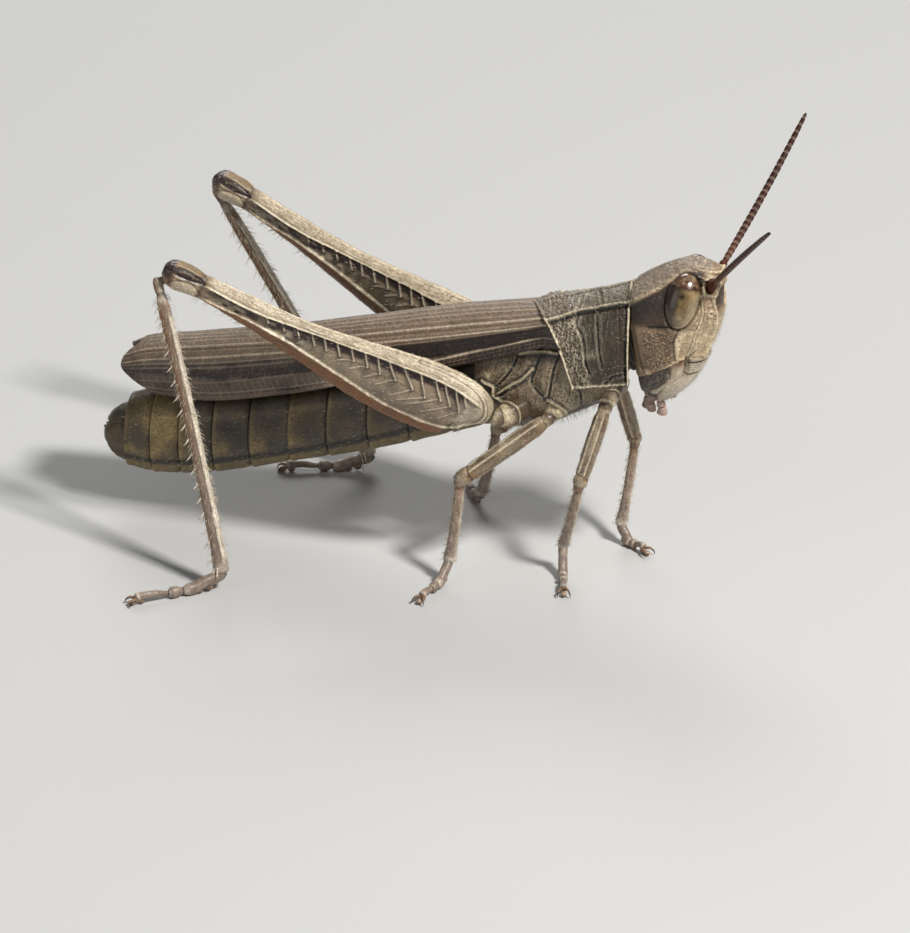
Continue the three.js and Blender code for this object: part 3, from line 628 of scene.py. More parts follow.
    paint = {
        "grey": on_crown * (0.8 - 0.3 * ridge(coarse, 0.3) + 0.3 * strands),
        "pale": 0.85 * ridge(cheek, 0.045) + 0.35 * ridge(cheek - 0.1, 0.03) + 0.95 * ridge(brow, 0.065)
            + 1.0 * patch + 0.5 * ridge(hem, 0.07) + 0.8 * ridge(ring_at - 0.085, 0.035)
            + 0.9 * ridge(knob_at, 0.07) + 0.8 * ridge(brow_edge, 0.05) + 0.55 * ridge(eye_roof, 0.045)
            + 0.3 * ridge(eye_gap - 0.055, 0.02) * low_front
            + 0.35 * front * smooth(9.2, 8.2, z) * (1 - hollow) + 0.5 * ridge(socket - 0.27, 0.06) * front
            + 0.5 * ridge(crown_line, 0.07) * smooth(0.3, 0.5, coarse)
            + 0.2 * on_crown * smooth(0.1, 0.5, strands) + 0.5 * cheek_area * ridge(granules, 0.3)
            + 0.4 * front * smooth(0.1, 0.5, wrinkle),
        "warm": 0.95 * hollow + 0.3 * ridge(socket - 0.3, 0.16) * front + 0.12 * cheek_area
            + 0.6 * inside(p, 7.46, 7.62, 7.5, 7.66, 0.06) + 0.9 * temple
            + 0.25 * ridge(eye_gap - 0.2, 0.15) * low_front,
        "dark": temple * lerp(0.62, 0.92, smooth(8.7, 9.2, z + 0.15 * soft))
            + 0.85 * ridge(eye_line, 0.035) + 0.7 * ridge(furrow, 0.035) + 0.5 * ridge(nape, 0.06)
            + 0.3 * ridge(eye_gap, 0.02) + mouth * 0.9 + 0.55 * cheek_area * smooth(0.34, 0.56, granules)
            + 0.95 * ridge(ocellus, 0.12) + 0.7 * ridge(ring_at, 0.04) + 0.65 * hollow
            + 0.6 * ridge(socket - 0.2, 0.04) * front + 0.45 * ridge(fine, 0.25) * smooth(-0.2, 0.4, soft)
            + 0.45 * ridge(brow_edge - 0.075, 0.025) + 0.4 * ridge(eye_roof - 0.08, 0.025)
            # painted shade: the last term on the next line darkens the head's rear, where it meets the
            # pronotum
            + 0.6 * ridge(cheek - 0.06, 0.02) + 0.35 * smooth(6.5, 5.8, x) * (1 - on_crown),
    }
    return closed(bare, out, paint, rise)


def eyeball(side):
    """One eye, painted with its upper cap, front stripes, blots and the dark spot that looks back."""
    a, b = grid(np.linspace(0.02, np.pi - 0.02, 84), circle(110))
    ball = np.stack([np.sin(a) * np.cos(b), np.sin(a) * np.sin(b) * side, np.cos(a)], -1)
    full = np.abs(ball) ** 0.94 * np.sign(ball)
    centre = sided(EYE_CENTRE, side)
    points = (full * EYE_SIZE) @ eye_frame(side) + centre
    fore, up = ball[..., 0], ball[..., 2]
    rim = np.hypot(fore, up)
    cloud = noise(ball, 0.3, 13)
    border = up - 0.47 - 0.06 * fore + 0.04 * cloud
    low = smooth(0.1, -0.2, up) * smooth(-0.1, 0.35, fore)
    stripes = sum(ridge(rim - place, 0.016) for place in (0.74, 0.82, 0.90))
    blots = noise(ball, 0.16, 14)
    pupil = np.hypot((fore - 0.04) / 0.13, (up - 0.17) / 0.15)
    blot = np.hypot((fore + 0.26) / 0.17, (up + 0.16) / 0.26)
    # The rear of the eye is painted shade: the grey layer (with a few blots) and the dark layer rise towards
    # the back, so it fades into the shaded band behind the eye.
    paint = {
        "warm": smooth(-0.02, 0.03, border) * (0.85 + 0.3 * cloud),
        "grey": clamp(1.1 * smooth(0.15, -0.35, fore) + 0.35 * smooth(0.1, 0.6, blots))
            * smooth(0.05, -0.05, border),
        "pale": 0.7 * stripes * low + 0.35 * smooth(0.3, 0.8, fore) * smooth(0.05, -0.3, border)
            + 0.25 * smooth(0.0, 0.5, cloud) * low
            + 0.35 * smooth(0.1, 0.6, blots) * smooth(0.0, 0.1, border),
        "dark": 0.6 * ridge(border, 0.05) + 0.95 * ridge(pupil, 1.0) + 0.3 * smooth(0.94, 1.0, rim)
            + 0.45 * ridge(blot, 1.0) + 0.6 * smooth(-0.35, -0.85, fore) * smooth(0.1, 0.0, border)
            + 0.35 * smooth(0.1, 0.5, cloud) * smooth(0.0, 0.1, border),
    }
    return closed(points, normals(points, centre, wrap=True), paint)


def settle(turn, height):
    """Points on the head at these turns, where the height depends on how far forward they are."""
    z = height(7.8)
    for _ in range(12):
        z = 0.5 * z + 0.5 * height(head(z, turn)[..., 0])
    return head(z, turn)


# How far round the head the upper lip reaches, by height.
LIP_REACH = profile([[5.6, 1.30], [6.1, 1.42], [6.40, 1.36], [6.55, 1.18], [6.75, 0.92], [6.99, 0.80],
                     [7.4, 0.84], [7.7, 0.97]])
# The cross edges of the upper lip and of the jaw: height at x = 0, and slope along x.
LIP_EDGES = ((11.1774, -0.4615), (9.7224, -0.36), (5.74, 0.0))
JAW_EDGES = ((3.3805, 0.563), (6.22, 0.0))


def cross_height(upper, lower, x, t):
    """The height at a share of the way down from one cross edge to the next."""
    return lerp(upper[0] + upper[1] * x, lower[0] + lower[1] * x, t)


def upper_lip():
    """The clypeus with its cross folds, and the labrum below it."""
    parts = []
    for piece, rows in enumerate((46, 70)):
        t, w = grid(np.linspace(0, 1, rows), np.linspace(-1, 1, 150))
        edges = LIP_EDGES[piece:piece + 2]
        turn = w * LIP_REACH(cross_height(*edges, 7.8, t))[0]
        bare = settle(turn, lambda x: cross_height(*edges, x, t))
        out = normals(bare, (6.6, 0, 7.0))
        side_fall = smooth(1.0, 0.93, np.abs(w))
        grit = grains(bare, 0.07, 21)
        if piece == 0:
            fold = ridge(t - 0.32, 0.045)
            crease = ridge(np.mod(t * 7 + 0.2 * np.abs(w), 1) - 0.5, 0.2)
            crease *= smooth(0.03, 0.12, t) * smooth(0.94, 0.86, t)
            rise = 0.04 * np.sin(np.pi * clamp(t / 0.32)) + 0.035 * smooth(0.32, 0.5, t) * smooth(1, 0.9, t)
            rise += 0.022 * (1 - crease)
            rise -= 0.05 * fold + 0.10 * smooth(0.05, 0, t) + 0.07 * smooth(0.94, 1.0, t)
            dark = 0.8 * fold + 0.4 * crease + 0.9 * smooth(0.93, 1, t) + 0.8 * smooth(0.05, 0, t)
            pale = 0.3 + 0.4 * smooth(0.4, 0.6, t)
            warm = 0.2 * crease + 0.7 * smooth(0.8, 1, np.abs(w)) * smooth(0.4, 0.2, t)
        else:
            notch = ridge(w, 0.12) * smooth(0.75, 1, t)
            rise = 0.05 * np.sin(np.pi * clamp(t)) ** 0.5 - 0.09 * smooth(0.05, 0, t) - 0.06 * notch
            rise -= 0.08 * smooth(0.9, 1.0, t) + 0.02 * ridge(w, 0.03) * smooth(0.1, 0.3, t)
            dark = 0.9 * smooth(0.04, 0, t) + 0.5 * smooth(0.94, 1, t) + 0.5 * smooth(0.95, 1, np.abs(w))
            pale = 0.55 * smooth(0.0, 0.2, t) * smooth(1.0, 0.6, t) + 0.1
            warm = 0.35 * smooth(0.55, 1.0, t)
        rise -= 0.13 * (1 - side_fall) + 0.012 * ridge(grit, 0.32)
        paint = {"dark": dark, "pale": pale, "warm": warm}
        parts.append(shell(bare + out * rise[..., None], out, 0.10, paint))
    return join(parts)


def mandible():
    """The right jaw: a swollen dark plate with a tan crescent along its front."""
    t, w = grid(np.linspace(0, 1, 80), np.linspace(0, 1, 110))
    z = lerp(7.3, 6.3, t)
    for _ in range(14):
        turn = -lerp(LIP_REACH(z)[0] + 0.02, 2.45, w)
        bare = head(z, turn)
        z = 0.5 * z + 0.5 * cross_height(*JAW_EDGES, bare[..., 0], t)
    out = normals(bare, (6.6, 0, 6.9))
    grit = grains(bare, 0.075, 31)
    crescent = ridge(w - 0.10, 0.10)
    cheek = smooth(0.3, 0.4, w)
    rise = -0.02 + 0.05 * np.sin(np.pi * w) ** 0.6 * np.sin(np.pi * t) ** 0.6 + 0.03 * crescent
    rise -= 0.05 * ridge(w - 0.26, 0.03) + 0.12 * smooth(0.05, 0, w) + 0.12 * smooth(0.94, 1, w)
    rise -= 0.08 * smooth(0.06, 0, t) + 0.10 * smooth(0.93, 1, t) + 0.018 * ridge(grit, 0.35) * cheek
    pitted = 0.72 * smooth(0.20, 0.26, w) + 0.25 * smooth(0.3, 0.55, grit) * smooth(0.2, 0.26, w)
    paint = {
        "dark": 0.95 * clamp(pitted + 0.5 * smooth(0.07, 0, t)),
        "warm": 0.9 * crescent * smooth(0.22, 0.10, t) + 0.35 * smooth(0.3, 0.8, w),
        "pale": 0.6 * crescent * smooth(0.15, 0.3, t) + 0.35 * ridge(grit, 0.3) * cheek,
    }
    return shell(bare + out * rise[..., None], out, 0.10, paint)


build("head", head_capsule(), FACE, "cuticle_tan", ["head"])
build("clypeus_labrum", upper_lip(), MOUTH, "mouthparts", ["clypeus_labrum"])
build("mandible_right", mandible(), MOUTH, "mouthparts", ["mandible_right"])
build("mandible_left", mirrored(mandible()), MOUTH, "mouthparts", ["mandible_left"])
for side_name, side in SIDES:
    build("eye_" + side_name, eyeball(side), EYE, "eye", ["eye_" + side_name])

# ------------------------------------------------------------ feelers, palps and neck

UPRIGHT = (0, 0, 1)


def tube(centres, sides, ups, widths, heights, count, power=2.0):
    """Rings of points along a path; widths and heights are half sizes, one for each ring."""
    c, s = rounded(circle(count), power)
    across = sides[:, None] * (widths[:, None] * c)[..., None]
    high = ups[:, None] * (heights[:, None] * s)[..., None]
    return centres[:, None] + across + high


def frames(path, hint):
    """Side and up directions along a path that keep near one hint."""
    along = unit(np.gradient(path, axis=0))
    side = unit(np.cross(along, np.asarray(hint, float)))
    return side, np.cross(side, along)


def bent(points, count):
    """A smooth path of evenly spaced points through the bends given."""
    path = course(points, 24)
    reach = np.concatenate([[0], np.cumsum(np.linalg.norm(np.diff(path, axis=0), axis=1))])
    wanted = np.linspace(0, reach[-1], count)
    return np.stack([np.interp(wanted, reach, path[:, k]) for k in range(3)], -1), wanted


def rod(points, radius_at, hint, count, round_count, paint_at, flat=1.0, dent=0.0):
    """A round or flattened rod through bends; radius_at and paint_at take shares of its length."""
    path, reach = bent(points, count)
    share = reach / reach[-1]
    side, up = frames(path, hint)
    radius = radius_at(share)
    net = tube(path, side, up, radius, radius * flat, round_count)
    out = unit(net - path[:, None])
    if dent:
        net = net + out * (dent * noise(net, 0.11, 17))[..., None]
    return closed(net, out, paint_at(share[:, None]))


ANTENNA_BEND = {"right": -0.004, "left": 0.012}
# Distance along a feeler, and its radius there.
ANTENNA_RADIUS = [(-0.3, 0.14), (0.0, 0.16), (0.28, 0.17), (0.40, 0.15), (0.43, 0.10), (0.5, 0.125),
                  (0.58, 0.12), (0.62, 0.085), (0.8, 0.112), (2.0, 0.122), (4.0, 0.112), (5.5, 0.092),
                  (6.1, 0.066), (6.2, 0.02)]


def antenna(name, side):
    """A feeler: a stout first joint, a round second, then many short joints with pale seams."""
    way = unit(ANTENNA_WAY[name])
    across = unit(np.cross([0, 0, 1], way))
    up = np.cross(way, across)
    length, base_end = 6.2, 0.62
    s = np.concatenate([np.linspace(-0.30, base_end, 50), np.linspace(base_end, length, 430)[1:]])
    joints = base_end + np.cumsum(lerp(0.16, 0.26, np.linspace(0, 1, 24) ** 0.5))
    joints = joints[joints < length - 0.1]
    seam = np.min(np.abs(s[:, None] - joints[None]), axis=1)
    body = read(ANTENNA_RADIUS, s)
    later = smooth(0.6, 0.8, s)
    radius = body * (1 - 0.17 * ridge(seam, 0.028) * later)
    bend = ANTENNA_BEND[name] * np.maximum(0, s) ** 2
    centres = antenna_root(side) + way * s[:, None] + up * bend[:, None]
    rings = np.ones((len(s), 1))
    net = tube(centres, across * rings, up * rings, radius, radius * lerp(1, 0.78, later), 22)
    out = unit(net - centres[:, None])
    flecks = noise(net, 0.09, 4)
    paint = {
        "pale": 0.75 * (ridge(seam - 0.022, 0.016) * later)[:, None],
        "dark": (0.5 * ridge(seam, 0.014) * later)[:, None] + 0.2 * flecks,
        "warm": 0.9 * smooth(2.2, 0.3, s)[:, None],
    }
    return closed(net, out, paint)


def palp_joints(bends, radii):
    """One palp: each joint swells towards its end, with a tight seam before the next."""
    def paint(t):
        return {"dark": 0.5 * ridge(t, 0.05), "warm": 0.35 * smooth(0.2, 0.7, t),
                "pale": 0.6 * smooth(0.85, 1.0, t)}

    parts = []
    for k, radius in enumerate(radii):
        end = 0.72 if k == len(radii) - 1 else 0.62
        swell = profile([[0, 0.45], [0.12, 0.75], [0.6, 0.92], [0.88, 1.0], [1.0, end]])
        middle = (bends[k] + bends[k + 1]) / 2 + np.array([0.02, 0, 0])
        joint = [bends[k], middle, bends[k + 1]]
        parts.append(rod(joint, lambda t: radius * swell(t)[0], (1, 0, 0), 40, 22, paint, dent=0.008))
    return parts


def palps(side):
    """The long outer palp, the short inner one and the small lobe that both stand on."""
    back = 0.0 if side < 0 else 0.32
    outer = [(6.50, 0.58, 6.20), (6.62, 0.62, 6.02), (6.74, 0.66, 5.86), (6.83, 0.67, 5.66),
             (6.84, 0.64, 5.40)]
    inner = [(6.30, 0.34, 6.05), (6.36 - 0.4 * back, 0.36, 5.82),
             (6.42 - 0.8 * back, 0.37, 5.60 - 0.4 * back), (6.45 - back, 0.35, 5.32 - 0.8 * back)]
    base = [(6.45, 0.5, 6.45), (6.5, 0.55, 6.1), (6.62, 0.5, 5.78)]
    lobe = rod(sided(base, side), lambda t: 0.17 * np.sqrt(np.clip(1 - (2 * t - 1) ** 4, 0.02, 1)), (1, 0, 0),
               30, 20, lambda t: {"dark": 0.5})
    long_palp = palp_joints(sided(outer, side), [0.13, 0.14, 0.15, 0.17])
    return join(long_palp + palp_joints(sided(inner, side), [0.12, 0.13, 0.15]) + [lobe])


def neck():
    """Soft folded skin between the head and the pronotum."""
    centres, reach = bent([(4.95, 0, 7.62), (5.3, 0, 7.72), (5.65, 0, 7.82), (6.1, 0, 7.95)], 52)
    share = reach / reach[-1]
    side, up = frames(centres, UPRIGHT)
    fold = 1 + 0.035 * np.sin(share * 26)
    net = tube(centres, side, up, 1.04 * fold, 1.22 * fold, 72, 2.2)
    out = unit(net - centres[:, None])
    net = net + out * (0.03 * noise(net, 0.3, 9))[..., None]
    paint = {"pale": 0.35 * smooth(0.2, 1.0, np.sin(share * 26))[:, None], "dark": 0.45}
    return closed(net, out, paint)


build("neck", neck(), MEMBRANE, "cuticle_side", ["neck"])
for side_name, side in SIDES:
    build("antenna_" + side_name, antenna(side_name, side), HORN, "antenna", ["antenna_" + side_name])
    build("palp_" + side_name, palps(side), PALP, "mouthparts", ["palp_" + side_name])

# ------------------------------------------------------------ pronotum

KEEL_OUT = profile([[2.5, 1.12], [3.4, 0.98], [4.4, 0.72], [5.1, 0.72], [5.9, 0.86]])
DISC = 0.36


def pronotum(u, v):
    """u runs from the rear edge to the front, v from the right lower edge over the back to the left."""
    side = v * 2 - 1
    around = np.abs(side)
    down = np.maximum(0, (around - DISC) / (1 - DISC))
    over = np.minimum(1, around / DISC)
    rear = lerp(2.57, 3.14, over) + 1.08 * down ** 0.75
    front = lerp(5.66, 5.80, over) + 0.14 * down
    x = lerp(rear, front, u)
    lobe = lerp(1.74, 1.52, u)
    (disc,) = KEEL_OUT(x)
    bulge = np.sin(down * np.pi / 2) ** 0.7
    y = np.where(down > 0, lerp(disc, lobe, bulge), disc * over)
    top = 8.36 + 0.352 * (x - 2.57)
    keel = 8.26 + 0.335 * (x - 3.14)
    edge = 6.43 + 0.140 * (x - 4.22)
    z = np.where(down > 0, lerp(keel, edge, down), lerp(top, keel, over ** 2))
    return np.stack([x, np.sign(side) * y, z], -1)


# Furrows and the low fold of its side, as (u, v).
REAR_FURROW = [(0.479, 0.444), (0.399, 0.348), (0.355, 0.310), (0.315, 0.265), (0.357, 0.230),
               (0.355, 0.167), (0.335, 0.111), (0.36, 0.06)]
MID_FURROW = [(0.657, 0.470), (0.657, 0.411), (0.655, 0.333)]
MID_FURROW_LOW = [(0.581, 0.291), (0.569, 0.241), (0.567, 0.159), (0.579, 0.081)]
FRONT_FURROW = [(0.84, 0.40), (0.85, 0.30), (0.86, 0.2), (0.88, 0.1)]
LOBE_FOLD = [(0.549, 0.003), (0.62, 0.015), (0.697, 0.032), (0.80, 0.040), (0.926, 0.042)]


def shield():
    """The pronotum with its three keels, cross furrows, rims and pits."""
    right = evenly(lambda v: pronotum(0.5, v), 0.0, 0.5, 160, closed=False)
    v = np.concatenate([right, 1 - right[-2::-1]])
    u, v = grid(np.linspace(0, 1, 190), v)
    bare = pronotum(u, v)
    out = normals(bare, (4.4, 0, 6.9))
    p = folded(bare)
    w = np.minimum(v, 1 - v)
    around = np.abs(v * 2 - 1)

    def line(points):
        path = course(points)
        return away(p, pronotum(path[:, 0], path[:, 1]))

    furrows = (REAR_FURROW, MID_FURROW, MID_FURROW_LOW, FRONT_FURROW, LOBE_FOLD)
    rear, middle, low, front_line, fold = map(line, furrows)
    keel_share = np.linspace(0, 1, 60)
    keel = away(p, pronotum(keel_share, 0.5 - DISC / 2))
    centre = np.abs(p[..., 1])
    callus = away(p, pronotum(np.array([0.35, 0.5]), np.array([0.14, 0.14])))
    disc = smooth(DISC + 0.01, DISC - 0.02, around)
    hind = smooth(0.37, 0.33, u)
    pits = grains(p, 0.085, 41)
    mesh_cells = grains(p * np.array([1.0, 1.0, 0.75]), 0.062, 47)
    small = grains(p, 0.055, 43)
    soft = noise(p, 0.4, 44)
    folds = noise(p * np.array([2.6, 1, 0.8]), 0.16, 45)
    front_edge = (1 - u) * 3.0
    rear_edge = u * 3.0
    low_edge = w * 6.4
    notch = ridge(np.hypot((u - 0.95) * 3, (w - 0.05) * 6), 0.12)

    web = smooth(0.34, 0.60, mesh_cells) * (0.55 + 0.45 * smooth(-0.3, 0.3, folds))
    side_part = 1 - disc
    rise = 0.03 * soft - 0.014 * ridge(small, 0.3)
    rise += hind * (0.024 * web - 0.010 * ridge(mesh_cells, 0.3) + 0.022 * folds) * (1 - ridge(keel, 0.08))
    rise += (1 - hind) * (0.016 * folds * side_part - 0.026 * ridge(pits, 0.30) * lerp(0.35, 1, disc))
    rise += 0.085 * ridge(keel, 0.032) - 0.05 * ridge(keel - 0.11, 0.06) * side_part
    rise += 0.05 * ridge(centre, 0.035)
    rise += -0.04 * ridge(rear, 0.024) - 0.025 * ridge(middle, 0.024) - 0.035 * ridge(low, 0.022)
    rise += -0.03 * ridge(front_line, 0.04) * side_part + 0.04 * ridge(callus, 0.16)
    rise += 0.02 * (ridge(rear - 0.1, 0.06) + ridge(low - 0.1, 0.06) + ridge(middle - 0.09, 0.05))
    rise += -0.035 * ridge(fold, 0.04) + 0.03 * ridge(fold - 0.07, 0.03) + 0.03 * ridge(low_edge, 0.05)
    rise += 0.05 * ridge(front_edge - 0.04, 0.045) - 0.05 * ridge(front_edge - 0.16, 0.05) * side_part
    rise += 0.05 * ridge(rear_edge - 0.03, 0.045) - 0.02 * ridge(rear_edge - 0.12, 0.04) - 0.05 * notch

    under = ridge(keel - 0.105, 0.055) * side_part
    bright = np.max([ridge(keel, 0.030), ridge(front_edge - 0.03, 0.05) * (1 - 0.6 * disc),
                     0.8 * ridge(low_edge, 0.05), ridge(rear_edge - 0.02, 0.055) * side_part], axis=0)
    speck = ridge(small, 0.2) * smooth(0.45, 0.5, scatter(np.floor(p / 0.11).astype(np.int64), 46))
    shade = 1.2 * under + 0.6 * ridge(rear, 0.022) + 0.4 * ridge(middle, 0.02) + 0.6 * ridge(low, 0.02)
    shade += 0.6 * ridge(fold, 0.035) + 0.3 * ridge(centre - 0.06, 0.03)
    shade += side_part * (0.45 * ridge(front_edge - 0.15, 0.05) + 0.30 * hind * (1 - web))
    shade += side_part * ((1 - hind) * (0.22 + 0.3 * smooth(-0.3, 0.5, folds)) + 0.25 * smooth(0.3, 0.0, w))
    shade += 0.3 * ridge(pits, 0.24) * (1 - hind)
    paint = {
        "grey": disc * (0.75 + 0.2 * soft),
        "pale": 1.25 * bright + 0.35 * ridge(centre, 0.035) * smooth(0.3, 0.5, pits)
            + 0.4 * ridge(callus, 0.12) + 0.22 * ridge(rear - 0.08, 0.04) + 0.2 * ridge(low - 0.07, 0.03)
            + 0.36 * hind * side_part * web + 0.16 * disc * smooth(0.35, 0.6, pits)
            + 0.4 * ridge(fold - 0.07, 0.03) + 0.5 * speck * side_part * (1 - hind),
        "warm": 0.45 * ridge((u - 0.90) * 3, 0.14) * side_part + 0.35 * hind * (0.6 + 0.4 * soft)
            + 0.3 * smooth(0.1, 0.6, soft) * side_part,
        "dark": (1 - bright) * clamp(shade),
    }
    return shell(bare + out * rise[..., None], out, 0.09, paint)


build("pronotum", shield(), SHIELD, "cuticle_tan", ["pronotum"])

# ------------------------------------------------------------ thorax and abdomen

# Place along x, height of the back, height of the belly and half width.
THORAX_AT = profile([[1.05, 7.42, 4.15, 1.28], [1.30, 7.50, 4.22, 1.34], [2.30, 7.75, 4.30, 1.50],
                     [3.40, 8.00, 4.62, 1.52], [4.40, 8.40, 5.15, 1.40], [5.20, 8.70, 5.62, 1.14],
                     [5.45, 8.60, 5.95, 1.00]])
ABDOMEN_AT = profile([
    [-10.35, 3.55, 1.22, .88], [-9.40, 3.92, 1.12, 1.10], [-8.00, 4.25, 1.28, 1.22],
    [-6.30, 4.62, 1.70, 1.30], [-4.70, 5.00, 2.18, 1.34], [-3.10, 5.55, 2.62, 1.34],
    [-1.50, 6.20, 3.14, 1.34], [1.24, 7.30, 4.16, 1.30]])


def trunk(table, power):
    """Body sections: turn 0 is the left side and a quarter turn the back."""

    def at(x, turn):
        roof, floor, wide = table(x)
        middle = lerp(floor, roof, 0.52)
        c, s = rounded(turn, power)
        tall = np.where(s > 0, roof - middle, middle - floor)
        return np.stack([x + 0 * c, wide * c, middle + tall * s], -1)

    return at


# Lines on the side of the thorax, as (x, z).
SEAMS = [
    [(3.14, 7.39), (3.09, 7.19), (2.96, 6.75), (2.87, 6.35), (2.98, 6.15), (3.14, 5.99), (3.38, 5.78)],
    [(3.70, 7.33), (3.58, 6.93), (3.49, 6.37), (3.43, 5.91), (3.38, 5.78)],
    [(2.37, 7.14), (2.24, 6.73), (1.99, 6.34), (1.76, 6.02)],
    [(2.96, 6.83), (2.64, 6.44), (2.29, 6.18), (1.83, 5.73)],
    [(4.09, 6.38), (4.21, 6.24), (4.39, 6.09), (4.40, 5.7), (4.31, 5.32), (3.88, 5.05)],
]
PALE_RIMS = [
    [(3.38, 5.78), (3.71, 5.67), (3.90, 5.44), (3.88, 5.05)],
    [(1.3, 6.16), (1.64, 6.0), (1.67, 5.73), (1.87, 5.60), (2.21, 5.46), (2.38, 5.14)],
    [(2.41, 7.19), (3.08, 7.35), (3.65, 7.38)],
    [(2.90, 6.80), (2.58, 6.41), (2.23, 6.15), (1.78, 5.78)],
]
SIDE_KNOB, BREATHING_HOLE = np.array([1.46, 6.31]), np.array([2.62, 6.98])


def side_plates():
    """The thorax with the seams, rims, knob and breathing hole of its sides."""
    surface = trunk(THORAX_AT, 2.5)
    turns = evenly(lambda t: surface(3.0, t), 0, 2 * np.pi, 250)
    x, turn = grid(np.linspace(1.05, 5.45, 175), turns)
    bare = surface(x, turn)
    out = normals(bare, np.stack([x, 0 * x, 6.2 + 0 * x], -1), wrap=True)
    flat = np.stack([bare[..., 0], bare[..., 2]], -1)
    wall = smooth(0.55, 0.8, np.abs(np.cos(turn)) ** 0.8)
    seams = np.min([away(flat, course(s)) for s in SEAMS], axis=0)
    rims = np.min([away(flat, course(s)) for s in PALE_RIMS], axis=0)
    knob = np.linalg.norm(flat - SIDE_KNOB, axis=-1)
    breath = np.linalg.norm((flat - BREATHING_HOLE) * np.array([1, 0.7]), axis=-1)
    pits = grains(bare, 0.085, 51)
    small = grains(bare, 0.05, 52)
    soft = noise(bare, 0.45, 53)
    folds = noise(bare * np.array([1, 1, 0.5]), 0.14, 54)
    plate = smooth(4.45, 4.1, x) * smooth(3.35, 3.55, x) * smooth(6.5, 6.3, flat[..., 1])
    sill = np.abs(np.sin(turn) + 0.80)

    rise = 0.03 * soft + 0.016 * folds - 0.018 * ridge(small, 0.3)
    rise += wall * (0.12 * (1 - ridge(seams, 0.22)) - 0.05 * ridge(seams, 0.028) - 0.06)
    rise += wall * (0.11 * ridge(rims, 0.045) + 0.07 * ridge(knob, 0.12) + 0.03 * ridge(breath - 0.07, 0.03))
    rise += -0.03 * ridge(pits, 0.33) * wall * lerp(0.4, 1, plate) - 0.05 * ridge(sill, 0.05)
    light = 1.25 * ridge(rims, 0.042) + 0.7 * ridge(knob, 0.13) + 0.6 * ridge(seams - 0.065, 0.022)
    light += 0.5 * plate * smooth(0.35, 0.55, pits) + 0.35 * ridge(pits - 0.5, 0.1)
    shade = 0.95 * ridge(seams, 0.035) + 0.85 * ridge(rims - 0.09, 0.04) + 0.3 * ridge(seams, 0.16)
    shade = wall * (shade + 0.8 * ridge(breath, 0.05) + 0.6 * smooth(6.9, 7.4, flat[..., 1]))
    shade += 0.5 * ridge(pits, 0.27) + 0.2 * smooth(0, 0.5, soft) + 0.6 * ridge(sill, 0.05)
    paint = {
        "pale": wall * light + 0.25 * smooth(-0.85, -1, np.sin(turn)),
        "warm": wall * (0.35 * ridge(seams - 0.12, 0.08) + 0.3 * plate) + 0.2 * soft,
        "dark": (1 - wall * ridge(rims, 0.042)) * clamp(shade),
    }
    return closed(bare, out, paint, rise)


# Where each ring of the abdomen starts, along x.
RINGS = [1.24, 0.2, -1.1, -2.4, -3.7, -4.95, -6.2, -7.4, -8.5, -9.45, -10.35]


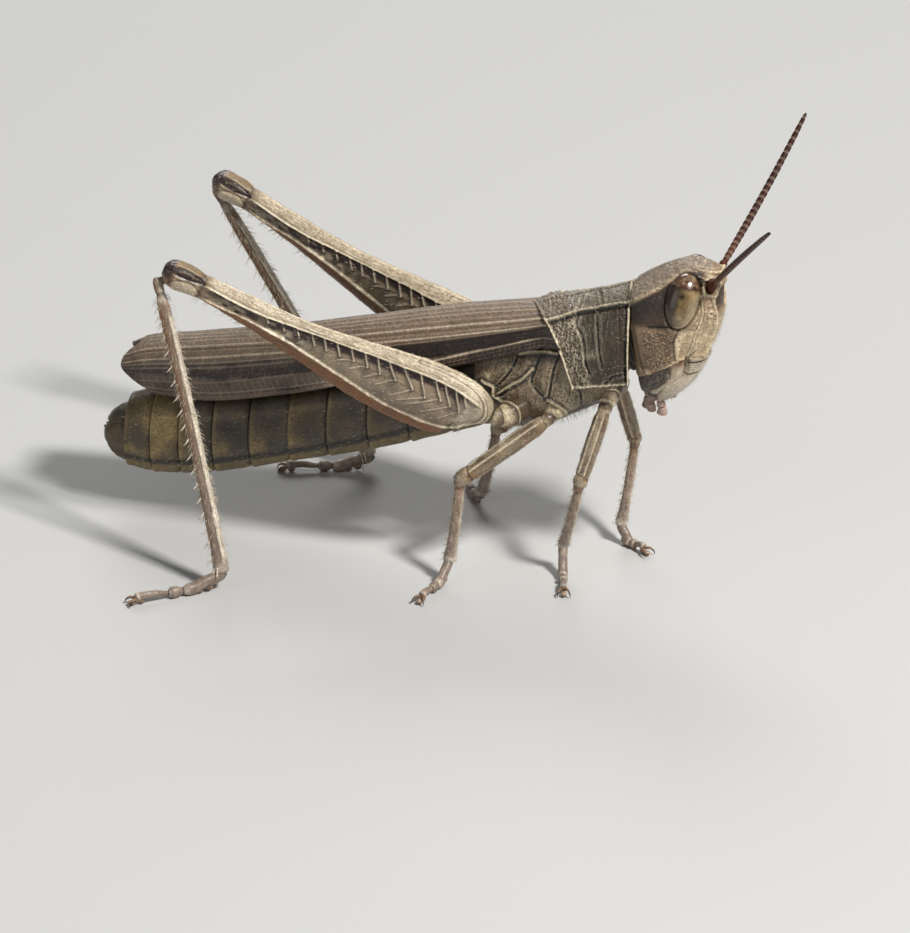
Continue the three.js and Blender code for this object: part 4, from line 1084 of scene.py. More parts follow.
def abdomen(first, last):
    """Rings that overlap like roof tiles, each a back plate and a belly plate with soft skin between."""
    surface = trunk(ABDOMEN_AT, 2.2)
    turns = evenly(lambda t: surface(-5.0, t), 0, 2 * np.pi, 156)
    share = np.concatenate([np.linspace(0, 0.9, 21), np.linspace(0.92, 1.0, 8)])
    starts = np.array(RINGS[first:last])
    starts[0] += 0.06 if first else 0
    x, turn = grid(lerp(starts[:, None], np.array(RINGS[first + 1:last + 1])[:, None], share).ravel(), turns)
    t = np.tile(share, last - first)[:, None]
    ring = np.repeat(np.arange(first, last), len(share))[:, None]
    bare = surface(x, turn)
    roof, floor, _ = ABDOMEN_AT(x)
    axis = np.stack([x, 0 * x, lerp(floor, roof, 0.52)], -1)
    radial = unit((bare - axis) * np.array([0, 1, 1]))
    height = np.sin(turn)
    side = smooth(0.2, 0.5, np.abs(np.cos(turn)))
    groove = np.abs(height + 0.50) * 0.9
    soft = noise(bare, 0.5, 61)
    pits = grains(bare, 0.09, 62)
    wrinkle = noise(bare * np.array([3.2, 0.7, 0.7]), 0.2, 63)
    lip = smooth(0.80, 0.90, t) * smooth(0.99, 0.955, t)
    step = -0.05 * smooth(0.22, 0.0, t) - 0.06 * smooth(0.965, 1.0, t) + 0.018 * lip
    keel = ridge(bare[..., 1], 0.05) * smooth(0.5, 0.9, height)

    rise = step + 0.008 * soft - 0.010 * ridge(pits, 0.3) + 0.006 * wrinkle * smooth(0.0, 0.3, t) * (1 - lip)
    rise += -0.06 * ridge(groove, 0.05) * side - 0.03 * ridge(groove - 0.12, 0.06) * side + 0.02 * keel
    upper = smooth(-0.46, -0.40, height)
    belly = smooth(-0.58, -0.64, height)
    patch = ridge(height + 0.22, 0.18) * smooth(0.45, 0.65, t) * smooth(0.97, 0.93, t) * (ring > 3)
    band = ridge(height - 0.18, 0.22) * smooth(0.08, 0.3, t) * smooth(0.85, 0.6, t)
    tail = smooth(-8.0, -9.0, x)
    blotch = smooth(0.15, 0.5, soft)
    # lit_patch: a pale ochre pool of painted light on the lit side near the end of the abdomen; it also
    # clears the dark there.
    lit_patch = ridge(x + 9.05, 0.65) * ridge(bare[..., 2] - 3.2, 0.65) * side * smooth(-1.1, -0.2, soft)
    paint = {
        "pale": 0.22 * lip * upper + 0.45 * patch + 0.3 * belly + 0.2 * lip * belly
            + 0.18 * ridge(pits, 0.3) * upper + 0.3 * tail * ridge(height, 0.5) * smooth(-0.3, 0.3, soft)
            + 1.1 * lit_patch,
        "warm": 0.3 * upper * smooth(0.3, 0.8, t) + 0.35 * blotch + 0.3 * belly + 0.35 * tail
            + 0.6 * lit_patch,
        "dark": 0.45 * band + 0.6 * smooth(0.955, 0.985, t) + 0.35 * smooth(0.15, 0.0, t)
            + 0.5 * ridge(groove, 0.06) * side + 0.3 * (1 - upper) * (1 - belly)
            + 0.4 * smooth(0.1, -0.5, soft) * upper * (1 - 0.6 * tail) - 0.8 * lit_patch
            + 0.3 * smooth(0.3, 0.9, height) * (1 - tail),
        "grey": 0.5 * smooth(0.6, 1.0, height) + 0.3 * upper,
    }
    return closed(bare, radial, paint, rise)


def egg_layer():
    """The end of the abdomen: a pair of short closed valves above and below, tail feelers and end plates."""
    def tips(t):
        return {"dark": 0.9 * smooth(0.8, 0.95, t) + 0.3 * ridge(t - 0.6, 0.05),
                "warm": 0.5 * smooth(0.2, 0.7, t), "pale": 0.4 * smooth(0.4, 0.0, t)}

    def plain(amount):
        return lambda t: {"warm": amount, "dark": 0.4 * smooth(0.75, 1, t)}

    def blunt(radius, power, least):
        return lambda t: radius * np.sqrt(np.clip(1 - t**power, least, 1))

    upper = [(-10.15, 0.22, 2.50), (-10.60, 0.20, 2.46), (-10.92, 0.15, 2.36), (-11.16, 0.12, 2.44)]
    lower = [(-10.15, 0.22, 2.02), (-10.55, 0.20, 2.03), (-10.86, 0.15, 2.10), (-11.08, 0.12, 2.02)]
    tail = [(-10.2, 0.50, 2.88), (-10.50, 0.56, 2.88), (-10.86, 0.56, 2.80)]
    flank = [(-10.1, 0.42, 2.40), (-10.55, 0.38, 2.36), (-11.08, 0.26, 2.28)]
    parts = []
    for _, side in SIDES:
        for bends in (upper, lower):
            parts.append(rod(sided(bends, side),
                             lambda t: 0.27 * (1 - 0.85 * t**2.2) * (1 - 0.15 * ridge(t - 0.62, 0.08)),
                             UPRIGHT, 50, 24, tips, flat=0.8, dent=0.01))
        parts.append(rod(sided(tail, side), lambda t: 0.17 * (1 - 0.8 * t**1.6), UPRIGHT, 36, 20, plain(0.3)))
        parts.append(rod(sided(flank, side), blunt(0.50, 3, 0.02), UPRIGHT, 36, 28, plain(0.45), flat=1.2,
                         dent=0.02))
    top = [(-10.1, 0, 3.06), (-10.6, 0, 2.92), (-11.06, 0, 2.62)]
    parts.append(rod(top, blunt(0.50, 2.2, 0.01), UPRIGHT, 46, 32, plain(0.3), flat=0.5, dent=0.015))
    below = [(-10.0, 0, 1.72), (-10.5, 0, 1.74), (-11.08, 0, 1.98)]
    parts.append(rod(below, blunt(0.62, 2.6, 0.01), UPRIGHT, 46, 38, plain(0.5), flat=0.55, dent=0.015))
    return join(parts)


build("thorax", side_plates(), SIDE, "cuticle_side", ["thorax"])
build("abdomen_front", abdomen(0, 5), BELLY, "abdomen", ["abdomen_front"])
build("abdomen_rear", abdomen(5, 10), BELLY, "abdomen", ["abdomen_rear"])
build("ovipositor", egg_layer(), BELLY, "abdomen", ["ovipositor"])

# ------------------------------------------------------------ forewings

# Middle line, fold (out, height) and lower edge (out, height) of the closed wings along x.
WING_AT = profile([
    [-10.5, 5.20, .60, 5.05, .95, 4.42], [-9.7, 5.62, .66, 5.38, 1.10, 4.25],
    [-8.1, 5.96, .72, 5.66, 1.20, 4.24], [-4.9, 6.62, .82, 6.26, 1.36, 4.90],
    [-2.3, 7.28, .90, 6.86, 1.46, 5.76], [.2, 7.94, .98, 7.46, 1.54, 6.52],
    [3.2, 8.52, 1.02, 8.20, 1.62, 7.62]])
WING_FOLD = 0.36


def forewing(u, v):
    """u runs from the shoulder to the tip, v from the middle line of the back to the lower edge."""
    down = np.maximum(0, (v - WING_FOLD) / (1 - WING_FOLD))
    over = np.minimum(1, v / WING_FOLD)
    base = lerp(2.57, 3.14, over) + 0.60 * down ** 0.75 + 0.06
    tip = -10.46 + 0.95 * np.abs(2 * v - 0.86) ** 2.4
    x = lerp(base, tip, u)
    top, fold_out, fold_high, edge_out, edge_high = WING_AT(x)
    bulge = np.sin(down * np.pi / 2) ** 0.8
    out = np.where(down > 0, lerp(fold_out, edge_out, bulge), fold_out * over)
    high = np.where(down > 0, lerp(fold_high, edge_high, down), lerp(top, fold_high, over ** 1.8))
    return np.stack([x, -out, high], -1)


STEPS_U = [0, 0.12, 0.25, 0.4, 0.55, 0.7, 0.85, 1.0]
# The lengthwise veins: how far down the wing each lies at those places, and how stout it is.
VEINS = [
    ([.05, .05, .05, .045, .04, .03, .03, .02], 0.7), ([.11, .105, .10, .09, .08, .07, .06, .05], 0.6),
    ([.17, .165, .16, .15, .14, .13, .12, .12], 0.8), ([.235, .23, .225, .215, .20, .19, .19, .20], 0.6),
    ([.30, .295, .29, .285, .28, .28, .285, .30], 1.3), ([.355, .35, .35, .345, .34, .34, .35, .37], 0.7),
    ([.41, .405, .40, .405, .41, .42, .44, .47], 1.5), ([.445, .45, .455, .46, .475, .49, .51, .54], 1.0),
    ([.53, .53, .53, .535, .54, .55, .57, .61], 0.7), ([.60, .60, .60, .605, .615, .63, .66, .70], 0.8),
    ([.66, .67, .68, .69, .71, .73, .76, .80], 0.8), ([.70, .73, .79, .86, .89, .89, .89, .90], 1.0),
    ([.78, .82, .88, .93, .955, .955, .955, .96], 0.7), ([.90, .92, .95, .975, .985, .985, .985, .99], 0.6),
]
# The pale stripe and the dark spots of the wing, as (u, v).
STRIPE = [(.0, .68), (.063, .694), (.121, .734), (.19, .742), (.254, .789), (.283, .812), (.363, .882),
          (.46, .95)]
WING_SPOTS = [(.635, .66), (.57, .667), (.641, .93), (.70, .71), (.42, .60), (.49, .62), (.36, .56),
              (.78, .66), (.52, .52), (.66, .50), (.74, .55), (.84, .60)]
# The dark band of the wing: upper and lower edge at places along it.
BAND_TOP = [(0, .445), (0.1, .45), (0.25, .46), (0.45, .50), (0.7, .56), (1, .6)]
BAND_LOW = [(0, .66), (0.1, .68), (0.25, .73), (0.45, .72), (0.7, .70), (1, .66)]
# How pale the palest veins are, by number; the others are 0.16.
VEIN_SHINE = {4: 0.75, 5: 0.3, 6: 0.85, 7: 0.3, 11: 0.3}
WING_SIZE = np.array([13.3, 2.9])


def wing_case(seed):
    """A right forewing with its veins, cells, stripe and spots; the seed moves the cross veins."""
    u, v = grid(np.linspace(0, 1, 440), np.linspace(0, 1, 114))
    bare = forewing(u, v)
    out = normals(bare, np.stack([bare[..., 0], 0 * u, WING_AT(bare[..., 0])[4]], -1))
    lines = np.array([np.interp(u, STEPS_U, vein) for vein, _ in VEINS])
    soft = noise(bare, 0.5, 70)
    fine = noise(bare * np.array([0.35, 1, 1]), 0.05, 71)

    vein_rise, vein_mark, bright = 0, 0, 0
    for k, (_, stout) in enumerate(VEINS):
        gap = np.abs(v - lines[k]) * WING_SIZE[1]
        vein_rise = np.maximum(vein_rise, 0.024 * stout * ridge(gap, 0.02 + 0.012 * stout))
        vein_mark = np.maximum(vein_mark, min(1, stout) * ridge(gap, 0.022 + 0.01 * stout))
        bright = np.maximum(bright, VEIN_SHINE.get(k, 0.16) * ridge(gap, 0.02 + 0.012 * stout))
    edges = np.concatenate([np.zeros((1,) + u.shape), lines, np.ones((1,) + u.shape)])
    cross_rise = 0
    for k in range(len(edges) - 1):
        low, high = edges[k], edges[k + 1]
        within = (v >= low) & (v < high)
        part = (v - low) / (high - low + 1e-9)
        spacing = 0.15 + 0.12 * scatter(np.array([[k, seed, 3]]), 5)[0] + 0.10 * (k in (7, 8, 9))
        slant = (0.16 if k < 6 else -0.14) * (0.5 + scatter(np.array([[k, 9, seed]]), 7)[0])
        waver = 0.10 * noise(np.stack([u * 40, 0 * u + k, 0 * u], -1), 1.0, 72) + 0.03 * fine
        place = (u * WING_SIZE[0] + slant * (part - 0.5) + waver) / spacing
        off = np.abs(place - np.round(place)) * spacing
        cross_rise = np.where(within, ridge(off, 0.016), cross_rise)
    spread = smooth(0.0, 0.03, u)
    rise = 0.012 * soft + vein_rise + 0.009 * cross_rise * spread
    flat = np.stack([u, v], -1) * WING_SIZE
    stripe = away(flat, course(STRIPE) * WING_SIZE)
    stripe_wide = lerp(0.035, 0.085, clamp(u / 0.15))
    stripe_mark = ridge(stripe, stripe_wide) * smooth(0.50, 0.34, u)
    rise += 0.03 * stripe_mark
    spots = 0
    for k, middle in enumerate(WING_SPOTS):
        spot = (flat - np.array(middle) * WING_SIZE) * np.array([0.62, 1.4])
        strength = 0.85 if k < 4 else 0.5
        spots = np.maximum(spots, strength * ridge(np.linalg.norm(spot, axis=-1), 0.13 + 0.03 * (k % 3)))
    band = smooth(-0.02, 0.02, v - read(BAND_TOP, u)) * smooth(-0.02, 0.02, read(BAND_LOW, u) - v)
    band *= lerp(1.0, 0.45, smooth(0.2, 0.6, u))
    outer_part = smooth(0.35, 0.6, u)
    ladder = ridge(np.mod(u * WING_SIZE[0] / 0.11, 1) - 0.5, 0.22) * ridge(v - lines[6] + 0.028, 0.016)
    low_part = smooth(0.02, 0.08, v - read(STRIPE, u)) * smooth(0.5, 0.36, u)
    cell = clamp(1 - vein_mark - 0.7 * cross_rise)
    between = ridge(v - lines[5] + 0.02, 0.012) + ridge(v - lines[7] - 0.02, 0.016)
    between += ridge(v - lines[9], 0.012)
    paint = {
        "pale": 0.95 * stripe_mark + bright * (1 - 0.6 * band) * (1 - 0.5 * outer_part)
            + 0.10 * cross_rise * (1 - band) + 0.35 * ladder * (1 - outer_part)
            + 0.14 * smooth(0.36, 0.2, v) + 0.3 * ridge(np.hypot((u - .546) * 13, (v - .95) * 3), 0.35),
        "warm": 0.5 * low_part * (1 - cross_rise) + 0.25 * smooth(0.0, 0.7, soft)
            + 0.3 * smooth(0.7, 1, v) * smooth(0.4, 0.6, u),
        "grey": 0.55 * outer_part + 0.3 * smooth(0.42, 0.6, v) * smooth(0.3, 0.5, u),
        "dark": 1.0 * band * lerp(0.85, 1, cell) + 0.5 * low_part * cell + spots * (0.4 + 0.6 * cell)
            + 0.25 * cell * smooth(0.38, 0.5, v) + 0.14 * cell + 0.5 * ridge(v - 1, 0.012)
            + 0.5 * outer_part * between
            + 0.3 * smooth(0.1, 0.5, soft) * smooth(0.38, 0.5, v)
            + 0.5 * smooth(0.06, 0.0, u) * smooth(0.3, 0.45, v) + 0.25 * ridge(v, 0.01),
    }
    points = bare + out * rise[..., None]
    lap = smooth(0.10, 0.0, v) * smooth(0.0, 0.05, u)
    points[..., 1] += 0.16 * lap
    points[..., 2] += (0.05 if seed == 1 else -0.035) * lap
    return shell(points, out, 0.05, paint, rim=5)


build("forewing_right", wing_case(1), WING, "wing", ["forewing_right"])
build("forewing_left", mirrored(wing_case(2)), WING, "wing", ["forewing_left"])

# ------------------------------------------------------------ legs

LEGS = {
    "fore_right": dict(hip=(5.17, -1.05, 5.70), knee=(4.57, -2.0, 3.29), ankle=(4.0, -1.5, 0.88),
                       toe=(4.4, -3.1, 0.19)),
    "fore_left": dict(hip=(5.10, 1.05, 5.42), knee=(5.49, 1.9, 3.13), ankle=(5.31, 0.94, 0.6),
                      toe=(6.2, 0.31, 0.19)),
    "mid_right": dict(hip=(3.54, -1.45, 5.26), knee=(0.93, -2.6, 3.27), ankle=(0.74, -3.07, 0.68),
                      toe=(0.27, -4.84, 0.19)),
    "mid_left": dict(hip=(3.50, 1.45, 5.22), knee=(0.96, 2.3, 2.75), ankle=(0.54, 2.1, 0.5),
                     toe=(-0.5, 3.8, 0.19)),
    "hind_right": dict(hip=(2.05, -2.15, 5.33), knee=(-8.41, -3.3, 9.64), heel=(-8.56, -3.33, 9.10),
                       ankle=(-5.89, -5.5, 0.52), toe=(-8.34, -7.39, 0.19)),
    "hind_left": dict(hip=(1.98, 2.15, 5.25), knee=(-8.75, 4.1, 9.47), heel=(-8.60, 4.1, 8.93),
                      ankle=(-3.47, 3.84, 0.5), toe=(-6.2, 2.95, 0.19)),
}
COXA_SIZE = {"fore": 0.34, "mid": 0.40, "hind": 0.41}
THIGH_SIZE = {"fore": 0.262, "mid": 0.305}
SHIN_SIZE = {"fore": 0.165, "mid": 0.178, "hind": 0.20}
SKINS = {}      # of each hairy limb: its surface, the shares of it that are hairy, and its direction


def joints_of(name):
    """The leg's joints as arrays, its kind, and -1 for the right side or 1 for the left."""
    kind, hand = name.split("_")
    return {key: np.array(place) for key, place in LEGS[name].items()}, kind, dict(SIDES)[hand]


def girths(size, rows):
    """A limb's table: rows of (share, depth, width) in units of its size."""
    return profile([[share, size * deep, size * deep, size * wide] for share, deep, wide in rows])


def limb(start, end, bend, table, power=2.0, bow=0.0):
    """A surface from one joint to the next, with its bowed axis, straight chord, direction and side."""
    way = end - start
    along = unit(way)
    side = unit(np.cross(along, np.asarray(bend, float)))
    up = np.cross(side, along)

    def chord(share):
        return start + way * np.asarray(share)[..., None]

    def axis(share):
        return chord(share) + up * (bow * 4 * share * (1 - share))[..., None]

    def at(share, turn):
        above, below, half = table(share)
        c, s = rounded(turn, power)
        tall = np.where(s > 0, above, below)
        return axis(share) + side * (half * c)[..., None] + up * (tall * s)[..., None]

    return at, axis, chord, along, side


def edges_of(turn, places, width):
    """How near each turn is to a limb's lengthwise edges."""
    return sum(ridge(np.angle(np.exp(1j * (turn - place))), width) for place in places)


def coxa(name):
    """The hip joint, with the small ring that carries the thigh."""
    leg, kind, side = joints_of(name)
    hind = kind == "hind"
    inward = np.array([0.52, -side * 0.75, 0.10] if hind else [0.10, -side * 0.62, 0.45])
    hip = leg["hip"]
    table = girths(COXA_SIZE[kind], [
        [-0.25, .5, .5], [0.1, 1, 1], [0.55, .98, .98], [0.85, .74, .74], [1.05, .5, .5]])
    at, axis, *_ = limb(hip + inward, hip, UPRIGHT, table)
    share, turn = grid(np.linspace(-0.25, 1.05, 60), circle(64))
    bare = at(share, turn)
    out = unit(bare - axis(share))
    soft, pits = noise(bare, 0.3, 80), grains(bare, 0.08, 81)
    seam = share - 0.62 - 0.08 * np.cos(turn)
    rise = 0.02 * soft - 0.012 * ridge(pits, 0.33)
    rise += 0.035 * ridge(seam + 0.06, 0.04) - 0.05 * ridge(seam, 0.03)
    rise += 0.03 * ridge(np.cos(turn - 0.8), 0.25) + 0.04 * ridge(share - 0.95, 0.05)
    paint = {
        "pale": 0.8 * ridge(seam + 0.06, 0.045) + 0.5 * ridge(share - 0.96, 0.06)
            + (0.6 if hind else 0.35) * smooth(0.65, 0.75, share) + 0.2 * soft,
        "dark": 0.85 * ridge(seam, 0.03) + 0.35 * ridge(pits, 0.27)
            + 0.5 * hind * smooth(0.02, -0.06, seam + 0.06),
        "warm": 0.3 * soft + 0.2,
    }
    thigh_way = unit(leg["knee"] - hip)
    reach, width = (0.25, 0.30) if hind else (0.34, 0.21)
    bends = [hip + unit(inward) * 0.12, hip + thigh_way * 0.5 * reach, hip + thigh_way * reach]
    ring = rod(bends, lambda t: width * (0.86 + 0.22 * ridge(t - 0.55, 0.3)), (0.2, 0, 1), 40, 30,
               lambda t: {"pale": 0.5 * ridge(t - 0.75, 0.12),
                          "dark": 0.7 * smooth(0.9, 1.0, t) + 0.4 * ridge(t - 0.3, 0.06)}, dent=0.012)
    return join([closed(bare, out, paint, rise), ring])


def walking_thigh(name):
    """The thigh of a fore or middle leg, with pale lengthwise edges and a seam before the knee."""
    leg, kind, _ = joints_of(name)
    table = girths(THIGH_SIZE[kind], [
        [0.07, .50, .50], [0.10, .74, .70], [0.18, .84, .80], [0.42, .88, .86], [0.70, .85, .84],
        [0.88, .80, .80], [0.94, .85, .84], [0.985, .81, .80], [1.02, .62, .64], [1.045, .28, .32]])
    at, axis, _, along, _ = limb(leg["hip"], leg["knee"], UPRIGHT, table, 2.3)
    shares = np.concatenate([np.linspace(0.07, 0.85, 96), np.linspace(0.855, 1.045, 40)])
    share, turn = grid(shares, circle(60))
    bare = at(share, turn)
    out = unit(bare - axis(share))
    shaft = smooth(0.12, 0.2, share) * smooth(0.90, 0.84, share)
    keels = edges_of(turn, (0.65, 2.5, -1.05, -2.1, 1.57), 0.11)
    soft, grit = noise(bare, 0.25, 90), grains(bare, 0.075, 91)
    knee_line = share - 0.895 - 0.012 * np.cos(2 * turn)
    lobe = ridge(np.abs(np.cos(turn)) - 1, 0.5) * smooth(0.92, 0.96, share)
    streaks = noise(np.stack([share * 2.2, np.cos(turn), np.sin(turn)], -1), 0.3, 92)
    flecks = grains(bare * np.array([1, 1, 0.7]), 0.11, 93)
    # rear: painted shade on the side of the thigh that faces backwards; it is painted warm and dark below.
    rear = smooth(-0.15, 0.5, -out[..., 0]) * (1 - keels) * shaft
    rise = 0.012 * soft + 0.022 * keels * shaft - 0.018 * ridge(knee_line, 0.012) + 0.01 * lobe
    rise += -0.008 * ridge(grit, 0.3) - 0.05 * ridge(np.sin(turn) + 1, 0.25) * smooth(0.93, 0.97, share)
    paint = {
        "grey": 0.5 * (1 - keels) * smooth(-0.2, 0.4, streaks),
        "pale": 0.95 * keels * shaft + 0.25 * smooth(0.3, 0.8, np.sin(turn)) + 0.3 * lobe,
        "warm": 0.3 * smooth(0.0, -0.8, np.sin(turn)) + 0.4 * ridge(share - 0.9, 0.03) + 0.2 * soft
            + 0.25 * rear,
        "dark": 0.75 * ridge(knee_line, 0.01) + 0.35 * ridge(grit, 0.28) * smooth(0.1, 0.5, soft)
            + 0.4 * smooth(1.0, 1.04, share) + 0.5 * smooth(0.10, 0.07, share)
            + 0.5 * (1 - keels) * shaft * smooth(0.05, 0.45, -streaks)
            + 0.45 * rear * smooth(-0.5, 0.4, streaks + soft) + 0.5 * ridge(flecks, 0.2) * (1 - keels)
            + 0.45 * ridge(share - 0.96, 0.03) * smooth(0.2, 0.7, np.sin(turn)),
    }
    SKINS[name + "_femur"] = (at, (0.14, 0.97), along)
    return closed(bare, out, paint, rise)


def walking_shin(name):
    """The shin of a fore or middle leg, with two rows of thorns below."""
    leg, kind, _ = joints_of(name)
    table = girths(SHIN_SIZE[kind], [
        [-0.035, .55, .6], [-0.01, .98, 1.0], [0.04, 1.05, 1.05], [0.09, .82, .86], [0.4, .86, .90],
        [0.8, .92, .96], [0.95, 1.12, 1.12], [1.0, 1.05, 1.05], [1.02, .5, .5]])
    at, axis, chord, along, _ = limb(leg["knee"], leg["ankle"], (1, 0, 0), table, 2.2, 0.03)
    share, turn = grid(np.linspace(-0.035, 1.02, 110), circle(40))
    bare = at(share, turn)
    out = unit(bare - axis(share))
    soft, grit = noise(bare, 0.2, 95), grains(bare, 0.06, 96)
    groove = ridge(np.sin(turn) - 1, 0.2) * smooth(0.12, 0.2, share)
    rise = 0.010 * soft - 0.008 * ridge(grit, 0.3) + 0.012 * groove
    # rear: painted shade on the side of the shin that faces backwards, darkened below.
    rear = smooth(0.0, 0.7, -out[..., 0])
    paint = {
        "pale": 0.5 * ridge(share - 0.97, 0.04) + 0.45 * groove + 0.25 * soft,
        "warm": 0.5 * smooth(0.35, 0.0, share) + 0.2 * soft,
        "grey": 0.6 * smooth(0.3, 0.9, share),
        "dark": 0.55 * ridge(share - 0.085, 0.02) + 0.4 * ridge(share - 0.0, 0.015)
            + 0.3 * ridge(grit, 0.28) * smooth(0.0, 0.5, soft) + 0.22 * rear * smooth(-0.3, 0.5, soft),
    }
    parts = [closed(bare, out, paint, rise)]
    for k in range(8):
        for row in (-1, 1):
            s = 0.32 + 0.62 * k / 7 + 0.02 * row
            root, outward = skin_spot(at, chord, s, -np.pi / 2 + row * 0.55)
            leaning = unit(outward * 0.75 + along * 0.6)
            parts.append(spine(root - outward * 0.02, leaning, 0.15 + 0.03 * (k > 5), 0.022))
    SKINS[name + "_tibia"] = (at, (0.04, 0.97), along)
    return join(parts)


def skin_spot(at, chord, share, turn):
    """A place on a limb's skin, and the way out of the skin there."""
    root = at(np.array(share), np.array(turn))
    return root, unit(root - chord(share))


def spine(root, way, length, radius, dark_from=0.55):
    """A thorn with a swollen foot and a slightly bent tip."""
    aside = unit(np.cross(way, [0.3, 0.2, 1.0]))
    bends = [root, root + (way * 0.5 + aside * 0.02) * length, root + (way + aside * 0.09) * length]

    def paint(t):
        return {"dark": 0.95 * smooth(dark_from, dark_from + 0.2, t),
                "pale": 0.7 * smooth(dark_from + 0.1, dark_from - 0.1, t)}

    return rod(bends, lambda t: radius * (1 - 0.93 * t) * (1 + 0.5 * ridge(t - 0.06, 0.07)),
               (0.3, 0.2, 1), 14, 9, paint)


# Along the hind thigh: share, height above the line from hip to knee, depth below it, half width.
THIGH_AT = profile([
    [.025, .18, .18, .20], [.035, .38, .34, .34], [.06, .58, .50, .42], [.118, .78, 1.00, .48],
    [.18, .82, 1.19, .50], [.24, .79, 1.21, .49], [.36, .62, 1.10, .44], [.48, .43, .94, .38],
    [.60, .32, .80, .33], [.77, .34, .56, .28], [.88, .38, .42, .27], [.93, .43, .45, .36],
    [.962, .42, .46, .38], [.985, .33, .36, .33], [.998, .13, .16, .15]])


def jumping_thigh_surface(name):
    """The hind thigh's bare surface, its axis, direction and upward side; turn 0 faces outward."""
    leg, _, side = joints_of(name)
    hip = leg["hip"]
    way = leg["knee"] - hip
    along = unit(way)
    out = unit(np.cross(along, [0, 0, 1]))
    out = out * np.sign(out[1] * side)
    up = unit(np.cross(out, along))
    up = up * np.sign(up[2])

    def at(share, turn):
        above, below, half = THIGH_AT(share)
        c, s = rounded(turn, 2.4)
        high = (above - below) / 2 + (above + below) / 2 * s
        return hip + way * share[..., None] + out * (half * c)[..., None] + up * high[..., None]

    def axis(share):
        above, below, _ = THIGH_AT(share)
        return hip + way * share[..., None] + up * ((above - below) / 2)[..., None]

    return at, axis, along, up


# Lines on the hind thigh's outer face, as (share, turn).
UPPER_KEEL = [(.90, .36), (.875, .32), (.764, .28), (.695, .37), (.614, .61), (.539, .727), (.453, .746),
              (.379, .752), (.293, .708), (.207, .702), (.146, .64), (.102, .507), (.060, .30), (.047, 0.0),
              (.047, -.30), (.055, -.6), (.071, -.83), (.096, -.93)]
LOWER_KEEL = [(.90, -.80), (.871, -.74), (.82, -.59), (.755, -.34), (.687, -.27), (.595, -.29), (.508, -.51),
              (.415, -.72), (.322, -.92), (.236, -.90), (.164, -.92), (.096, -.93)]
MIDDLE_LINE = [(.52, .12), (.428, .20), (.391, .19), (.352, .13), (.300, .13), (.249, .09), (.207, .02),
               (.173, .10), (.140, .04), (.113, -.04), (.08, -.1)]
BASE_RIM = [(.26, 1.30), (.17, 1.22), (.10, 1.10), (.065, .85), (.048, .45), (.042, 0.0), (.045, -.45),
            (.056, -.80), (.080, -1.02), (.112, -1.06)]
KNEE_CRESCENT = [(.986, .55), (.968, .92), (.945, .98), (.915, .86), (.890, .61), (.880, .44), (.896, .36),
                 (.927, .28), (.960, .34)]
KNEE_LOBE = [(.975, -.48), (.965, -.12), (.93, .12), (.905, .05), (.885, -.3), (.880, -.68), (.907, -.95),
             (.95, -.95), (.975, -.48)]
KNEE_SHINE = [(.955, .62), (.935, .72), (.915, .62), (.90, .50)]
# The feather-like ribs of the outer face: where each starts at the upper keel and bends at the middle line,
# and the lower ribs from that line to their ends, as (share, share, turn).
UPPER_RIBS = [(.690, .680), (.645, .632), (.602, .586), (.560, .540), (.525, .506), (.488, .467),
              (.447, .427), (.408, .386), (.372, .348), (.339, .302), (.297, .250), (.248, .211),
              (.205, .168), (.176, .139), (.143, .110), (.115, .085)]
LOWER_RIBS = [(.110, .158, -.50), (.139, .206, -.45), (.178, .255, -.43), (.211, .280, -.40),
              (.250, .301, -.36), (.306, .349, -.22), (.348, .387, -.17), (.386, .43, -.10),
              (.427, .47, -.02)]
# How far the thin lower flange hangs below the thigh, by share.
LOW_FLANGE = [(.126, 0), (.133, .19), (.22, .21), (.34, .27), (.40, .27), (.46, .23), (.52, .18), (.58, .11),
              (.64, .05), (.72, 0)]
THIGH_LENGTH = 11.4


def on_thigh(points):
    """Places on a hind thigh, (share, turn), as flat millimetres."""
    p = np.asarray(points, float)
    above, below, half = THIGH_AT(p[..., 0])
    return np.stack([p[..., 0] * THIGH_LENGTH, p[..., 1] * (above + below + half) * 0.42], -1)


